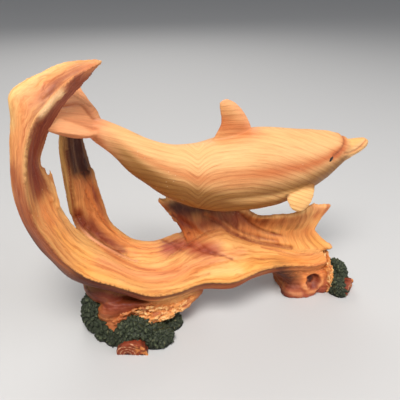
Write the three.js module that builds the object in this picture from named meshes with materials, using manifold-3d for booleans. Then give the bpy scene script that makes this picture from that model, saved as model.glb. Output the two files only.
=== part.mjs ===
// A carved-wood style figurine: a leaping dolphin held by a curling wave of driftwood,
// cast in one piece and standing on two mossy log feet.
// Millimetres, +Z up. X runs along the figurine towards the beak and Y runs away from the front.
import * as THREE from "three";
import { mergeVertices } from "three/addons/utils/BufferGeometryUtils.js";
import Module from "manifold-3d";

const wasm = await Module();
wasm.setup();

// Driving dimensions
const figureLength = 218; // back of the curl to the tip of the beak
const lipThickness = 5.5; // front lip of the trough
const wallThickness = 6.5; // wall under the belly, at its root
const wallEdge = 2.4; // the same wall at its torn top edge
const flukeThickness = 7.5;
const dorsalThickness = 7;
const flipperThickness = 5.5;
const bodyWidthShare = 0.88; // body width over body height
const knotRadius = 4.2;
const knotDepth = 7;
const logRadius = 8.6; // sawn log end at the front of the left foot
const twigRadius = 6.9; // the thinner one at the right foot
const barkRelief = 2.6; // height of the lumps on the moss
const grooveDepth = 1.1; // flow line carved along the trough

// Facets of each form: steps round its section and steps along it
const facets = {
  body: [22, 38],
  fin: [12, 9],
  flukes: [20, 5],
  frontStrand: [15, 54],
  rearStrand: [12, 32],
  wall: [30, 6],
  stem: [18, 6],
  lump: [14, 9],
  log: [20, 2],
  strip: [8, 6],
};

// How round a section's corners are: a round one is a full curve, a crisp one nearly a polygon
const roundCorner = 0.5;
const crispCorner = 0.27;
const tornCorner = 0.2;

// Points of the pose, from which its drawn length is taken
const spinePoints = [
  [-68, 0, 124.5], [-61.4, 0, 120.4], [-54.8, 0, 115.8], [-47.8, 0, 110], [-39.8, 0, 102.8],
  [-31.5, 0, 97.2], [-21, 0, 91.5], [-7, 0, 86.9], [8.5, 0, 85.1], [27, 0, 85.6],
  [40.7, 0, 85.3], [57, 0, 86.2], [71.4, 0, 87.4], [81, 0, 88.6], [89.5, 0, 89.4],
  [94.3, 0, 89.2], [97.4, 0, 89.9], [103.6, 0, 91.4], [108.6, 0, 92.6], [111, 0, 93.1],
];
const outerEdgePoints = [
  [-58.5, -7, 157], [-75, -3, 155.4], [-85.5, -4, 152], [-93, -6, 149.5], [-100.5, -9, 145],
  [-101.8, -10, 133], [-104.3, -11, 119.5], [-107, -10, 98], [-105.5, -10, 82],
  [-101.5, -10, 68.5], [-95, -10, 55], [-86, -12, 41],
];
const farthest = (points, sign) => Math.max(...points.map(([x]) => sign * x));
const drawnLength = farthest(spinePoints, 1) + farthest(outerEdgePoints, -1);
const grow = figureLength / drawnLength;

// Every drawn point grows with the figurine
function at(x, y, z) {
  return new THREE.Vector3(x, y, z).multiplyScalar(grow);
}

function drawn(points) {
  return points.map(([x, y, z]) => at(x, y, z));
}

function openCurve(points) {
  return new THREE.CatmullRomCurve3(points, false, "centripetal");
}

// A closed shape whose vertices are moved by a rule, as one solid with its faces outwards
function warpedSolid(shape, rule) {
  shape.deleteAttribute("normal");
  shape.deleteAttribute("uv");
  const merged = mergeVertices(shape);
  const places = merged.attributes.position;
  const point = new THREE.Vector3();
  for (let i = 0; i < places.count; i += 1) {
    point.fromBufferAttribute(places, i);
    const moved = rule(point);
    places.setXYZ(i, moved.x, moved.y, moved.z);
  }
  const corners = Array.from(merged.index.array);
  if (signedVolume(places, corners) < 0) corners.reverse();
  return new wasm.Manifold(new wasm.Mesh({
    numProp: 3,
    vertProperties: Float32Array.from(places.array),
    triVerts: Uint32Array.from(corners),
  }));
}

function signedVolume(places, corners) {
  const [a, b, c] = [new THREE.Vector3(), new THREE.Vector3(), new THREE.Vector3()];
  let total = 0;
  for (let i = 0; i < corners.length; i += 3) {
    a.fromBufferAttribute(places, corners[i]);
    b.fromBufferAttribute(places, corners[i + 1]);
    c.fromBufferAttribute(places, corners[i + 2]);
    total += a.dot(b.cross(c));
  }
  return total;
}

// A solid whose section at share t of its length is ring(t, s), with s once round the section.
// The middle of each end is the average of its ring.
function ringSolid(ring, [roundSteps, lengthSteps]) {
  const shape = new THREE.CylinderGeometry(1, 1, 1, roundSteps, lengthSteps);
  return warpedSolid(shape, (p) => {
    const t = 0.5 - p.y;
    const turn = Math.atan2(p.x, p.z) / (2 * Math.PI);
    if (Math.hypot(p.x, p.z) > 0.5) return ring(t, (turn + 1) % 1);
    const middle = new THREE.Vector3();
    for (let k = 0; k < roundSteps; k += 1) {
      middle.addScaledVector(ring(t, k / roundSteps), 1 / roundSteps);
    }
    return middle;
  });
}

// A long solid drawn by guide curves that run along its edges
function sweptSolid(guides, steps, corner) {
  const curves = guides.map(openCurve);
  const rings = new Map();
  const ring = (t, s) => {
    if (!rings.has(t)) {
      const corners = curves.map((curve) => curve.getPoint(t));
      rings.set(t, new THREE.CatmullRomCurve3(corners, true, "catmullrom", corner));
    }
    return rings.get(t).getPoint(s);
  };
  return ringSolid(ring, steps);
}

// A curved slab through guide curves laid side by side; its half thickness lies along its normal
function slabSolid(guides, [alongSteps, acrossSteps], halfThickness) {
  const curves = guides.map(openCurve);
  const middle = (u, v) => openCurve(curves.map((curve) => curve.getPoint(u))).getPoint(v);
  const [alongNudge, acrossNudge] = [0.01, 0.02];
  const shape = new THREE.BoxGeometry(1, 1, 1, alongSteps, acrossSteps, 1);
  return warpedSolid(shape, (p) => {
    const [u, v] = [p.x + 0.5, p.y + 0.5];
    const ahead = middle(Math.min(u + alongNudge, 1), v);
    const above = middle(u, Math.min(v + acrossNudge, 1));
    const along = ahead.sub(middle(Math.max(u - alongNudge, 0), v));
    const across = above.sub(middle(u, Math.max(v - acrossNudge, 0)));
    const normal = along.cross(across).normalize();
    return middle(u, v).addScaledVector(normal, 2 * p.z * halfThickness(u, v));
  });
}

// A rough ball of bark and moss
function lumpSolid(centre, radii, phase) {
  return warpedSolid(new THREE.SphereGeometry(1, ...facets.lump), (p) => {
    const waves = [Math.sin(5 * p.x + phase), Math.sin(4.3 * p.y + 2 * phase), Math.sin(5.7 * p.z + phase)];
    const folds = waves[0] * waves[1] * waves[2];
    return new THREE.Vector3(p.x * radii.x, p.y * radii.y, p.z * radii.z)
      .addScaledVector(p, barkRelief * folds)
      .add(centre);
  });
}

// Dolphin body: oval sections square to the spine, from the tail root to the tip of the beak
function dolphinBody() {
  const spine = openCurve(drawn(spinePoints));
  const halfHeights = [
    3.4, 6, 7.2, 8.6, 10.8, 12.6, 15.8, 19.6, 23.1, 25.2,
    24.6, 21.4, 18.3, 15.2, 11, 7.6, 6.1, 4.9, 3.4, 1.3,
  ];
  const height = openCurve(halfHeights.map((value, i) => new THREE.Vector3(i, value * grow, 0)));
  const nudge = 0.01;
  return ringSolid((t, s) => {
    const forward = spine.getPoint(Math.min(t + nudge, 1)).sub(spine.getPoint(Math.max(t - nudge, 0)));
    const up = new THREE.Vector3(0, 1, 0).cross(forward.normalize()).negate();
    const half = height.getPoint(t).y;
    const turn = 2 * Math.PI * s;
    return spine.getPoint(t)
      .addScaledVector(up, half * Math.cos(turn))
      .add(new THREE.Vector3(0, half * bodyWidthShare * Math.sin(turn), 0));
  }, facets.body);
}

// A fin drawn by its front and back edges, from inside the body to the tip, where it is thinner
function fin(frontEdge, backEdge, normal, thickness) {
  const [front, back] = [drawn(frontEdge), drawn(backEdge)];
  const tipThinning = 0.62;
  const fullestLine = 0.45;
  const bulge = (sign) => front.map((point, i) => {
    const half = (1 - tipThinning * (i / (front.length - 1))) * thickness / 2;
    return point.clone().lerp(back[i], fullestLine).addScaledVector(normal, sign * half);
  });
  return sweptSolid([front, bulge(1), back, bulge(-1)], facets.fin, roundCorner);
}

function dorsalFin() {
  return fin(
    [[30, 0, 98], [25.5, 0, 114], [20.5, 0, 122.5], [15, 0, 128], [10.4, 0, 130.2]],
    [[-6, 0, 96], [3.5, 0, 109.5], [7.2, 0, 117], [6.3, 0, 124], [6, 0, 128.4]],
    new THREE.Vector3(0, 1, 0),
    dorsalThickness,
  );
}

// Side is -1 for the flipper at the front and +1 for its twin behind
function flipper(side) {
  const mirrored = (points) => points.map(([x, y, z]) => [x, side * y, z]);
  return fin(
    mirrored([[65, 6, 84], [63, 16.5, 75.6], [60, 21, 72], [57, 23, 68], [52.5, 23.6, 64.2]]),
    mirrored([[45, 6, 84], [44.5, 16, 75.2], [42, 20, 72], [43.6, 23, 66.8], [47.5, 23.6, 64]]),
    new THREE.Vector3(0, side * 0.8, 0.6),
    flipperThickness,
  );
}

// Tail flukes: leading and trailing edges from the near tip to the far tip,
// thickest in the middle and drawn thin at the tips and edges
function flukes() {
  const leading = drawn([
    [-89, -11, 127.5], [-82, -12, 124.8], [-76.4, -11, 122.6], [-68, -7, 119.4], [-59, 0, 119],
    [-58.8, 6, 126], [-61, 12, 131], [-63.6, 17.5, 135], [-66, 22, 141.5],
  ]);
  const trailing = drawn([
    [-92, -8, 131], [-88, -7, 133], [-83.5, -5, 132.5], [-79, -2, 130.5], [-75, 1, 129.5],
    [-74.5, 6, 132.5], [-73, 11.5, 136.5], [-70.5, 17, 140], [-67.5, 22, 143.5],
  ]);
  return slabSolid([leading, trailing], facets.flukes, (u, v) => {
    const span = Math.sin(Math.PI * (0.12 + 0.76 * u));
    const chord = Math.sin(Math.PI * (0.15 + 0.7 * v));
    return flukeThickness / 2 * span * chord;
  });
}

// Front strand of the wave: it curls over at the top, and runs on as the front of the trough.
// Its ridge and inner edge face the front. Its outer edge is the back of the curl, and then the
// underside of the lip, which hangs below the ridge by the lip's thickness.
function frontOfWave() {
  const ridge = drawn([
    [-57.5, -11, 156.2], [-69.6, -15, 151.6], [-78, -15, 146], [-83.5, -17, 139.8],
    [-90.4, -18, 133], [-95.4, -19.5, 125], [-98.3, -20, 114], [-100.4, -20, 98],
    [-99, -20, 82], [-94.3, -20, 69.6], [-88.4, -20, 57.5], [-78, -23, 47],
    [-62, -28.5, 40.5], [-45.5, -33, 33.5], [-28, -30, 30], [-13, -27.4, 30],
    [4, -32.3, 30], [20, -28.4, 30], [34, -26.3, 29], [52, -27.5, 26.5],
    [66, -27, 25.5], [80.5, -21, 31],
  ]);
  const inner = drawn([
    [-58.5, -8, 154.6], [-66.8, -9, 146.8], [-72.9, -10, 141.8], [-78.4, -11, 136.4],
    [-85, -12, 127.8], [-88.4, -9, 119.5], [-91.8, -3, 107.5], [-88.7, 0, 94.5],
    [-87, 2, 84], [-84, 5, 73.5], [-80.5, 8, 62.5], [-74.5, 10, 53],
    [-64, 9, 43], [-48, 4, 33], [-30, 2, 30], [-12, 4, 37.5],
    [8, 1, 47], [18, 0, 41], [30, 0, 34.6], [48, -8, 30],
    [64, -14, 27.5], [79, -15, 30],
  ]);
  const curl = drawn(outerEdgePoints);
  const underhang = new THREE.Vector3(0, 0.9, -1.3).multiplyScalar(lipThickness);
  const outer = curl.concat(ridge.slice(curl.length).map((point) => point.clone().add(underhang)));
  const [curlDepth, troughDepth] = [0.85, 1.1];
  const back = inner.map((point, i) => {
    const depth = i < curl.length ? curlDepth : troughDepth;
    return point.clone().addScaledVector(outer[i].clone().sub(ridge[i]), depth);
  });
  const hollow = ridge.map((point, i) => {
    const inward = outer[i].clone().sub(point).normalize();
    return point.clone().lerp(inner[i], 0.5).addScaledVector(inward, grooveDepth);
  });
  return sweptSolid([ridge, hollow, inner, back, outer], facets.frontStrand, crispCorner);
}

// Rear strand: it drops from the far fluke, then spreads into the back of the trough
function rearOfWave() {
  const lightEdge = drawn([
    [-72, 12, 134], [-80, 19, 113], [-81.3, 20, 97], [-81, 20, 82], [-80, 20, 63],
    [-76.5, 17, 52], [-67, 8, 42], [-52, 1, 31], [-34, -2, 27.5], [-14, 2, 30], [2, 5, 33],
  ]);
  const frontCorner = drawn([
    [-70, 11.5, 131], [-75.5, 17.5, 112], [-76.2, 18.5, 96], [-75, 19, 82], [-74.6, 19.6, 63],
    [-71, 17, 54], [-61, 13, 44], [-47, 11, 36.5], [-32, 9, 33], [-14, 9, 37.5], [2, 10, 43],
  ]);
  const rim = drawn([
    [-67, 15, 133], [-67, 25, 109], [-65.2, 29, 96], [-62.5, 30, 78], [-60, 30, 64],
    [-56.5, 29, 51], [-48.6, 27.5, 41], [-41.8, 24, 36], [-31, 20.5, 35], [-14, 18, 39.5], [2, 15, 44],
  ]);
  const back = drawn([
    [-69.5, 17, 136], [-74, 28, 113], [-74, 32, 96], [-73, 33, 80], [-71, 33.5, 62],
    [-67, 32, 44], [-57, 28, 31], [-45, 22, 25.5], [-32, 18, 25], [-14, 15, 28], [2, 13, 34],
  ]);
  return sweptSolid([lightEdge, frontCorner, rim, back], facets.rearStrand, crispCorner);
}

// Wall of the wave under the belly: from the crease in the trough up to its torn top,
// ending at the right in two tips with a notch between them
function bellyWall() {
  const crease = drawn([
    [-9, 10, 34], [-2, 6, 37], [8, 1, 42], [19, 1, 37], [31, 1, 31], [45, -5, 28],
    [58, -10, 27], [69, -14, 27], [80.5, -18.5, 31],
  ]);
  const lower = drawn([
    [-17, 11, 52], [-7, 9, 49], [8, 6, 52.5], [20, 5.5, 46], [32, 4.5, 40], [45, 0, 38],
    [56, -5, 37.5], [64, -8, 38], [70.5, -11, 40],
  ]);
  const upper = drawn([
    [-23.5, 10, 61], [-11, 10, 62], [7, 8, 62], [21, 6, 54], [33, 3.6, 47], [45, -2, 46.5],
    [57, -7.5, 47], [66, -9, 48], [74.5, -10, 48.5],
  ]);
  const top = drawn([
    [-29, 9, 69.5], [-19, 10, 70.5], [3, 7, 71], [22, 4, 62], [33, 0, 52.2], [45, -5, 52.6],
    [57, -10, 55], [67, -10.5, 58.5], [81, -10, 55.6],
  ]);
  const flowDepth = 0.35 * grooveDepth;
  return slabSolid([crease, lower, upper, top], facets.wall, (u, v) => {
    const flow = flowDepth * Math.sin(14 * v + 5 * u) * Math.sin(Math.PI * v);
    return THREE.MathUtils.lerp(wallThickness, wallEdge, v) / 2 + flow;
  });
}

// Stem under the trough: outlines at a few heights, each given by its centre and half sizes.
// A power under one squares each outline a little, and a slow ripple makes it uneven.
function stem(levels) {
  const middle = openCurve(drawn(levels.map(([x, y, z]) => [x, y, z])));
  const halves = openCurve(drawn(levels.map(([, , , halfLength, halfDepth]) => [halfLength, halfDepth, 0])));
  const squared = (value) => Math.sign(value) * Math.abs(value) ** 0.8;
  return ringSolid((t, s) => {
    const half = halves.getPoint(t);
    const turn = 2 * Math.PI * s;
    const uneven = 1 + 0.05 * Math.sin(3 * turn + 9 * t) + 0.03 * Math.sin(7 * turn);
    const x = half.x * uneven * squared(Math.cos(turn));
    const y = half.y * uneven * squared(Math.sin(turn));
    return middle.getPoint(t).add(new THREE.Vector3(x, y, 0));
  }, facets.stem);
}

// A sawn log end: a short, slightly tapered cylinder from one point to another
function logEnd(from, to, radius) {
  const along = to.clone().sub(from);
  const upright = new THREE.Vector3(0, 1, 0);
  const turn = new THREE.Quaternion().setFromUnitVectors(upright, along.clone().normalize());
  const taper = 0.94;
  const shape = new THREE.CylinderGeometry(radius * taper, radius, along.length(), ...facets.log);
  const middle = from.clone().lerp(to, 0.5);
  return warpedSolid(shape, (p) => p.clone().applyQuaternion(turn).add(middle));
}

function leftFoot() {
  return [
    stem([
      [-40, -7, 24, 35, 18], [-41, -7, 20, 34, 18.5], [-43.5, -8, 14, 31.5, 19], [-53, -8, 7, 22, 20],
      [-56, -8, -5, 18, 20],
    ]),
    lumpSolid(at(-74, -10, 9), at(8, 10, 15.5), 0.4),
    lumpSolid(at(-58, -27, 5), at(12, 10, 13.5), 1.7),
    lumpSolid(at(-42, -24, 3), at(13, 9, 10.5), 2.9),
    lumpSolid(at(-62, 11, 4), at(18, 12, 13), 4.1),
    lumpSolid(at(-68, -4, 28), at(16, 17, 12), 5.3),
    logEnd(at(-59, -22, 6.5), at(-60.2, -39.5, 4.6), logRadius),
  ];
}

function rightFoot() {
  return [
    stem([
      [57, -15.5, 24, 21, 7], [60, -14.5, 20, 20, 9.5], [63, -12, 14, 18, 14], [64, -10, 7, 17, 17],
      [64, -10, -5, 17, 17],
    ]),
    lumpSolid(at(60, -20, 2), at(15, 8, 9), 0.9),
    lumpSolid(at(83, -18, 5), at(9.5, 11, 14.5), 2.2),
    lumpSolid(at(68, 4, 3), at(17, 10, 13), 3.6),
    logEnd(at(82, -22, 6), at(94.8, -22.5, 5), twigRadius),
  ];
}

// Pale bark torn upright beside the knot hole
function tornStrip() {
  const edges = [
    [[72, -29, -3], [71, -28.5, 12], [71, -26, 27]],
    [[75, -31, -3], [73.5, -30, 12], [73.5, -27, 27]],
    [[78, -27, -3], [76.5, -25, 12], [77, -22, 27]],
    [[72, -20, -3], [71, -20, 12], [71, -18, 27]],
  ];
  return sweptSolid(edges.map(drawn), facets.strip, tornCorner);
}

function knotHole() {
  const slender = 0.85;
  return lumpSolid(at(62, -28.6, 11), new THREE.Vector3(knotRadius * slender, knotDepth, knotRadius), 0);
}

function belowTheTable() {
  const reach = 4 * figureLength;
  const sunk = new THREE.Vector3(0, 0, -reach / 2);
  return warpedSolid(new THREE.BoxGeometry(reach, reach, reach), (p) => p.clone().add(sunk));
}

function joined(solids) {
  return solids.reduce((sum, next) => sum.add(next));
}

function figurineSolid() {
  const dolphin = joined([dolphinBody(), dorsalFin(), flipper(-1), flipper(1), flukes()]);
  const wave = joined([frontOfWave(), rearOfWave(), bellyWall()]);
  const feet = joined([...leftFoot(), ...rightFoot(), tornStrip()]);
  return dolphin.add(wave).add(feet.subtract(knotHole())).subtract(belowTheTable());
}

// The origin is the middle of the figurine's box, on the table
function figurineMesh() {
  const { vertProperties, triVerts } = figurineSolid().getMesh();
  const shape = new THREE.BufferGeometry();
  shape.setAttribute("position", new THREE.BufferAttribute(Float32Array.from(vertProperties), 3));
  shape.setIndex(Array.from(triVerts));
  shape.computeBoundingBox();
  const middle = shape.boundingBox.getCenter(new THREE.Vector3());
  shape.translate(-middle.x, -middle.y, -shape.boundingBox.min.z);
  shape.computeVertexNormals();
  const resin = new THREE.MeshStandardMaterial({ color: 0xd9a05f, roughness: 0.55, metalness: 0 });
  const mesh = new THREE.Mesh(shape, resin);
  mesh.name = "dolphin_figurine";
  return mesh;
}

const figurine = new THREE.Group();
figurine.add(figurineMesh());

export default figurine;
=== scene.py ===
import math

import bmesh
import bpy
import numpy as np
from mathutils import Matrix, Vector
from mathutils.kdtree import KDTree


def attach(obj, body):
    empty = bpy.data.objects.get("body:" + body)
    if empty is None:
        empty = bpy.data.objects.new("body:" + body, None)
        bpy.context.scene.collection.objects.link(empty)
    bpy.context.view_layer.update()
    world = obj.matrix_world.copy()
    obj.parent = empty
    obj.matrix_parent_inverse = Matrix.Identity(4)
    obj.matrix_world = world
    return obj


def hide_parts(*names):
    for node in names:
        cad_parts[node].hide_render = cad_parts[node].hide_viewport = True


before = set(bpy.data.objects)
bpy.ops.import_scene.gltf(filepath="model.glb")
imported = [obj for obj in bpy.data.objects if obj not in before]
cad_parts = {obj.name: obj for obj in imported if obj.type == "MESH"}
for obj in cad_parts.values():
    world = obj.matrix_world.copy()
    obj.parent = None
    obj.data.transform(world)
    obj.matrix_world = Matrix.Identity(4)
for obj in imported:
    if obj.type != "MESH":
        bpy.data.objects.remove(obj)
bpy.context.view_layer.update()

# The camera and the soft studio light. The camera looks down at the figurine's front from the left,
# as the photograph does. Shapes are drawn in millimetres, with the dolphin's middle plane at y = 0,
# and to_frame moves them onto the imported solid.
to_frame = Vector((-2.13, 3.5, 0.0))
view_azimuth = math.radians(-20)
view_elevation = math.radians(27)
view_distance = 0.300
view_target = Vector((0.0, 0.015, 0.062)) + to_frame * 0.001
back_to_camera = Vector((
    math.sin(view_azimuth) * math.cos(view_elevation),
    -math.cos(view_azimuth) * math.cos(view_elevation),
    math.sin(view_elevation)))
camera_data = bpy.data.cameras.new("camera")
camera_data.sensor_width = 36
camera_data.lens = 42.3
camera_data.clip_start = 0.01
camera = bpy.data.objects.new("camera", camera_data)
camera.location = view_target + back_to_camera * view_distance
camera.rotation_euler = back_to_camera.to_track_quat("Z", "Y").to_euler()
bpy.context.scene.collection.objects.link(camera)
bpy.context.scene.camera = camera


lit_middle = Vector((0, 0, 0.07))


def soft_light(name, place, size, power, tint):
    data = bpy.data.lights.new(name, "AREA")
    data.size = size
    data.energy = power
    data.color = tint
    lamp = bpy.data.objects.new(name, data)
    lamp.location = place
    lamp.rotation_euler = (Vector(place) - lit_middle).to_track_quat("Z", "Y").to_euler()
    bpy.context.scene.collection.objects.link(lamp)


soft_light("window_light", (-0.26, -0.46, 0.95), 0.45, 11.8, (1.0, 0.975, 0.94))
soft_light("room_light", (0.8, -0.6, 0.6), 0.9, 5.5, (0.95, 0.97, 1.0))
soft_light("back_light", (0.1, 0.9, 0.8), 0.7, 4.0, (1.0, 0.98, 0.95))
bpy.context.scene.view_settings.view_transform = "Standard"
world = bpy.data.worlds.new("room")
bpy.context.scene.world = world
world.use_nodes = True
world.node_tree.nodes["Background"].inputs["Color"].default_value = (0.80, 0.82, 0.86, 1)
world.node_tree.nodes["Background"].inputs["Strength"].default_value = 0.30


def stage_floor():
    bm = bmesh.new()
    bmesh.ops.create_grid(bm, x_segments=1, y_segments=1, size=8)
    mesh = bpy.data.meshes.new("floor")
    bm.to_mesh(mesh)
    bm.free()
    floor = bpy.data.objects.new("floor", mesh)
    bpy.context.scene.collection.objects.link(floor)
    material = bpy.data.materials.new("pale_floor")
    material.use_nodes = True
    shader = material.node_tree.nodes["Principled BSDF"]
    shader.inputs["Base Color"].default_value = (0.55, 0.545, 0.54, 1)
    shader.inputs["Roughness"].default_value = 0.7
    mesh.materials.append(material)


stage_floor()

# The wave: one curling sheet of cast resin, carved and painted like driftwood. It curls over at the
# left, runs down in two strands, spreads into a trough, and rises as a torn wall under the belly.
# Two rough stems carry it down to the log feet.


def smooth_path(points, shares):
    """Points of the smooth open curve through the given points, at shares 0 to 1 counted by point."""
    knots = np.asarray(points, float)
    knots = np.vstack([2 * knots[0] - knots[1], knots, 2 * knots[-1] - knots[-2]])
    count = len(points) - 1
    place = np.clip(np.asarray(shares, float), 0, 1) * count
    first = np.minimum(place.astype(int), count - 1)
    step = (place - first)[:, None]
    a, b, c, d = (knots[first + k] for k in range(4))
    pairs = ((a, b), (b, c), (c, d))
    gaps = [np.maximum(np.linalg.norm(q - p, axis=1), 1e-9)[:, None] ** 0.5 for p, q in pairs]
    start = ((b - a) / gaps[0] - (c - a) / (gaps[0] + gaps[1]) + (c - b) / gaps[1]) * gaps[1]
    end = ((c - b) / gaps[1] - (d - b) / (gaps[1] + gaps[2]) + (d - c) / gaps[2]) * gaps[1]
    cubic = 2 * b - 2 * c + start + end
    square = -3 * b + 3 * c - 2 * start - end
    return ((cubic * step + square) * step + start) * step + b


def round_section(corners, turns, crispness):
    """Points once round the closed curve through the corners. corners is (corner, station, 3)."""
    count = len(corners)
    place = np.asarray(turns, float) % 1.0 * count
    first = place.astype(int) % count
    step = (place - np.floor(place))[:, None, None]
    a, b, c, d = (corners[(first + k) % count] for k in (-1, 0, 1, 2))
    start = crispness * (c - a)
    end = crispness * (d - b)
    cubic = 2 * b - 2 * c + start + end
    square = -3 * b + 3 * c - 2 * start - end
    return ((cubic * step + square) * step + start) * step + b


def skin_from_grid(places):
    """A bmesh skin whose vertex (i, j) goes to places[i, j], closed round and filled at its ends."""
    along, around = places.shape[:2]
    bm = bmesh.new()
    bmesh.ops.create_grid(bm, x_segments=around - 1, y_segments=along - 1, size=1)
    bm.verts.ensure_lookup_table()
    for vertex, place in zip(bm.verts, places.reshape(-1, 3)):
        vertex.co = place
    bmesh.ops.remove_doubles(bm, verts=bm.verts, dist=1e-4)
    rims = [edge for edge in bm.edges if edge.is_boundary]
    bmesh.ops.holes_fill(bm, edges=rims)
    bmesh.ops.recalc_face_normals(bm, faces=bm.faces)
    return bm


def swept_places(guides, around, along, crispness):
    """Rings of places on a long form drawn by guide curves, which lie side by side round it."""
    shares = np.linspace(0, 1, along)
    corners = np.array([smooth_path(points, shares) for points in guides])
    rings = round_section(corners, np.linspace(0, 1, around), crispness)
    return rings.transpose(1, 0, 2)


def slab_places(guides, along, across, half_thickness):
    """Places round a curved slab through guide curves laid side by side, front face then back."""
    u = np.linspace(0, 1, along)
    v = np.linspace(0, 1, across)
    lines = np.array([smooth_path(points, u) for points in guides])
    middle = np.array([smooth_path(lines[:, i], v) for i in range(along)])
    normal = np.cross(np.gradient(middle, axis=0), np.gradient(middle, axis=1))
    normal /= np.linalg.norm(normal, axis=2)[:, :, None] + 1e-12
    half = half_thickness(u[:, None], v[None, :])[:, :, None]
    front = middle + normal * half
    back = (middle - normal * half)[:, ::-1]
    return np.concatenate([front, back, front[:, :1]], axis=1)


ridge = [(-57.5, -11, 156.2), (-69.6, -15, 151.6), (-78, -15, 146), (-83.5, -17, 139.8), (-90.4, -18, 133),
         (-95.4, -19.5, 125), (-98.3, -20, 114), (-100.4, -20, 98), (-99, -20, 82), (-94.3, -20, 69.6),
         (-88.4, -20, 57.5), (-78, -23, 47), (-62, -28.5, 40.5), (-45.5, -33, 33.5), (-28, -30, 30),
         (-13, -27.4, 30), (4, -32.3, 30), (20, -28.4, 30), (34, -26.3, 29), (52, -27.5, 26.5),
         (62.5, -28.4, 24.6), (72.8, -27.0, 24.6)]
inner_edge = [(-58.5, -8, 154.6), (-66.8, -9, 146.8), (-72.9, -10, 141.8), (-78.4, -11, 136.4),
              (-85, -12, 127.8), (-88.4, -9, 119.5), (-91.8, -3, 107.5), (-88.7, 0, 94.5), (-87, 2, 84),
              (-84, 5, 73.5), (-80.5, 8, 62.5), (-74.5, 10, 53), (-64, 9, 43), (-48, 4, 33), (-30, 2, 30),
              (-12, 4, 37.5), (8, 1, 47), (18, 0, 41), (30, 0, 34.6), (48, -8, 30), (62, -14, 27.5),
              (75, -14.5, 30)]
outer_edge = [(-58.5, -7, 157), (-75, -3, 155.4), (-85.5, -4, 152), (-93, -6, 149.5), (-100.5, -9, 145),
              (-101.8, -10, 133), (-104.3, -11, 119.5), (-107, -10, 98), (-105.5, -10, 82),
              (-101.5, -10, 68.5), (-95, -10, 55), (-86, -12, 41)]
lip_thickness = 5.5
hollow_depth = 1.1


def front_strand_guides():
    front, inner = np.array(ridge, float), np.array(inner_edge, float)
    hang = np.array((0, 0.9 * lip_thickness, -1.3 * lip_thickness))
    arris = np.array((0, 0.9, -0.9))
    outer = np.vstack([outer_edge, front[len(outer_edge):] + hang])
    depth = np.where(np.arange(len(front)) < len(outer_edge), 0.85, 1.1)[:, None]
    back = inner + (outer - front) * depth
    inward = (outer - front) / np.linalg.norm(outer - front, axis=1)[:, None]
    hollow = (front + inner) / 2 + inward * hollow_depth
    share = np.clip((np.arange(len(front)) - 9) / 3, 0, 1)[:, None]
    under = front + (outer - front) * 0.12 * (1 - share) + arris * share
    return [front, hollow, inner, back, outer, under]


rear_guides = [
    [(-72, 12, 134), (-80, 19, 113), (-81.3, 20, 97), (-81, 20, 82), (-80, 20, 63), (-76.5, 17, 52),
     (-67, 8, 42), (-52, 1, 31), (-34, -2, 27.5), (-14, 2, 30), (2, 5, 33)],
    [(-70, 11.5, 131), (-75.5, 17.5, 112), (-76.2, 18.5, 96), (-75, 19, 82), (-74.6, 19.6, 63), (-71, 17, 54),
     (-61, 13, 44), (-47, 11, 36.5), (-32, 9, 33), (-14, 9, 37.5), (2, 10, 43)],
    [(-67, 15, 133), (-67, 25, 109), (-65.2, 29, 96), (-62.5, 30, 78), (-60, 30, 64), (-56.5, 29, 51),
     (-48.6, 27.5, 41), (-41.8, 24, 36), (-31, 20.5, 35), (-14, 18, 39.5), (2, 15, 44)],
    [(-69.5, 17, 136), (-74, 28, 113), (-74, 32, 96), (-73, 33, 80), (-71, 33.5, 62), (-67, 32, 44),
     (-57, 28, 31), (-45, 22, 25.5), (-32, 18, 25), (-14, 15, 28), (2, 13, 34)],
]
wall_guides = [
    [(-9, 10, 34), (-2, 6, 37), (8, 1, 42), (19, 1, 37), (31, 1, 31), (45, -5, 28), (58, -10, 26.5),
     (69, -14.5, 26), (80.5, -19, 29.5)],
    [(-17, 11, 52), (-7, 9, 49), (8, 6, 52.5), (20, 5.5, 46), (32, 4.5, 40), (45, 0, 38), (56, -5, 37.5),
     (64, -8, 38), (70.5, -11, 40)],
    [(-23.5, 10, 61), (-11, 10, 62), (7, 8, 62), (21, 6, 54), (33, 3.6, 47), (45, -2, 46.5), (57, -7.5, 47),
     (66, -9, 48), (74.5, -10, 48.5)],
    [(-29, 9, 69.5), (-19, 10, 70.5), (3, 7, 71), (22, 4, 62), (33, 0, 52.2), (45, -5, 52.6), (57, -10, 55),
     (67, -10.5, 58.5), (81, -10, 55.6)],
]
wall_root = 6.5
wall_edge = 2.4


def wall_half_thickness(u, v):
    return (wall_root + (wall_edge - wall_root) * v) / 2 + 0 * u


def stem_places(levels, around, along):
    """A rough stem: its outlines at a few heights are (x, y, z, half length, half depth)."""
    t = np.linspace(0, 1, along)
    middle = smooth_path([level[:3] for level in levels], t)
    half = smooth_path([(level[3], level[4], 0) for level in levels], t)
    turn = np.linspace(0, 2 * np.pi, around)[None, :]
    flare = 1 + 0.05 * np.sin(3 * turn + 9 * t[:, None]) + 0.03 * np.sin(7 * turn)
    across = np.sign(np.cos(turn)) * np.abs(np.cos(turn)) ** 0.8 * flare
    deep = np.sign(np.sin(turn)) * np.abs(np.sin(turn)) ** 0.8 * flare
    places = np.repeat(middle[:, None, :], around, axis=1)
    places[:, :, 0] += half[:, None, 0] * across
    places[:, :, 1] += half[:, None, 1] * deep
    return places


left_stem = [(-40, -7, 24, 35, 18), (-41, -7, 20, 34, 18.5), (-43.5, -8, 14, 31.5, 19),
             (-53, -8, 7, 22, 20), (-56, -8, 0, 18, 20)]
right_stem = [(57, -15.5, 24, 21, 7), (60, -14.5, 20, 20, 9.5), (63, -12, 14, 18, 14),
              (64, -10, 7, 17, 17), (64, -10, 0, 17, 17)]


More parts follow.
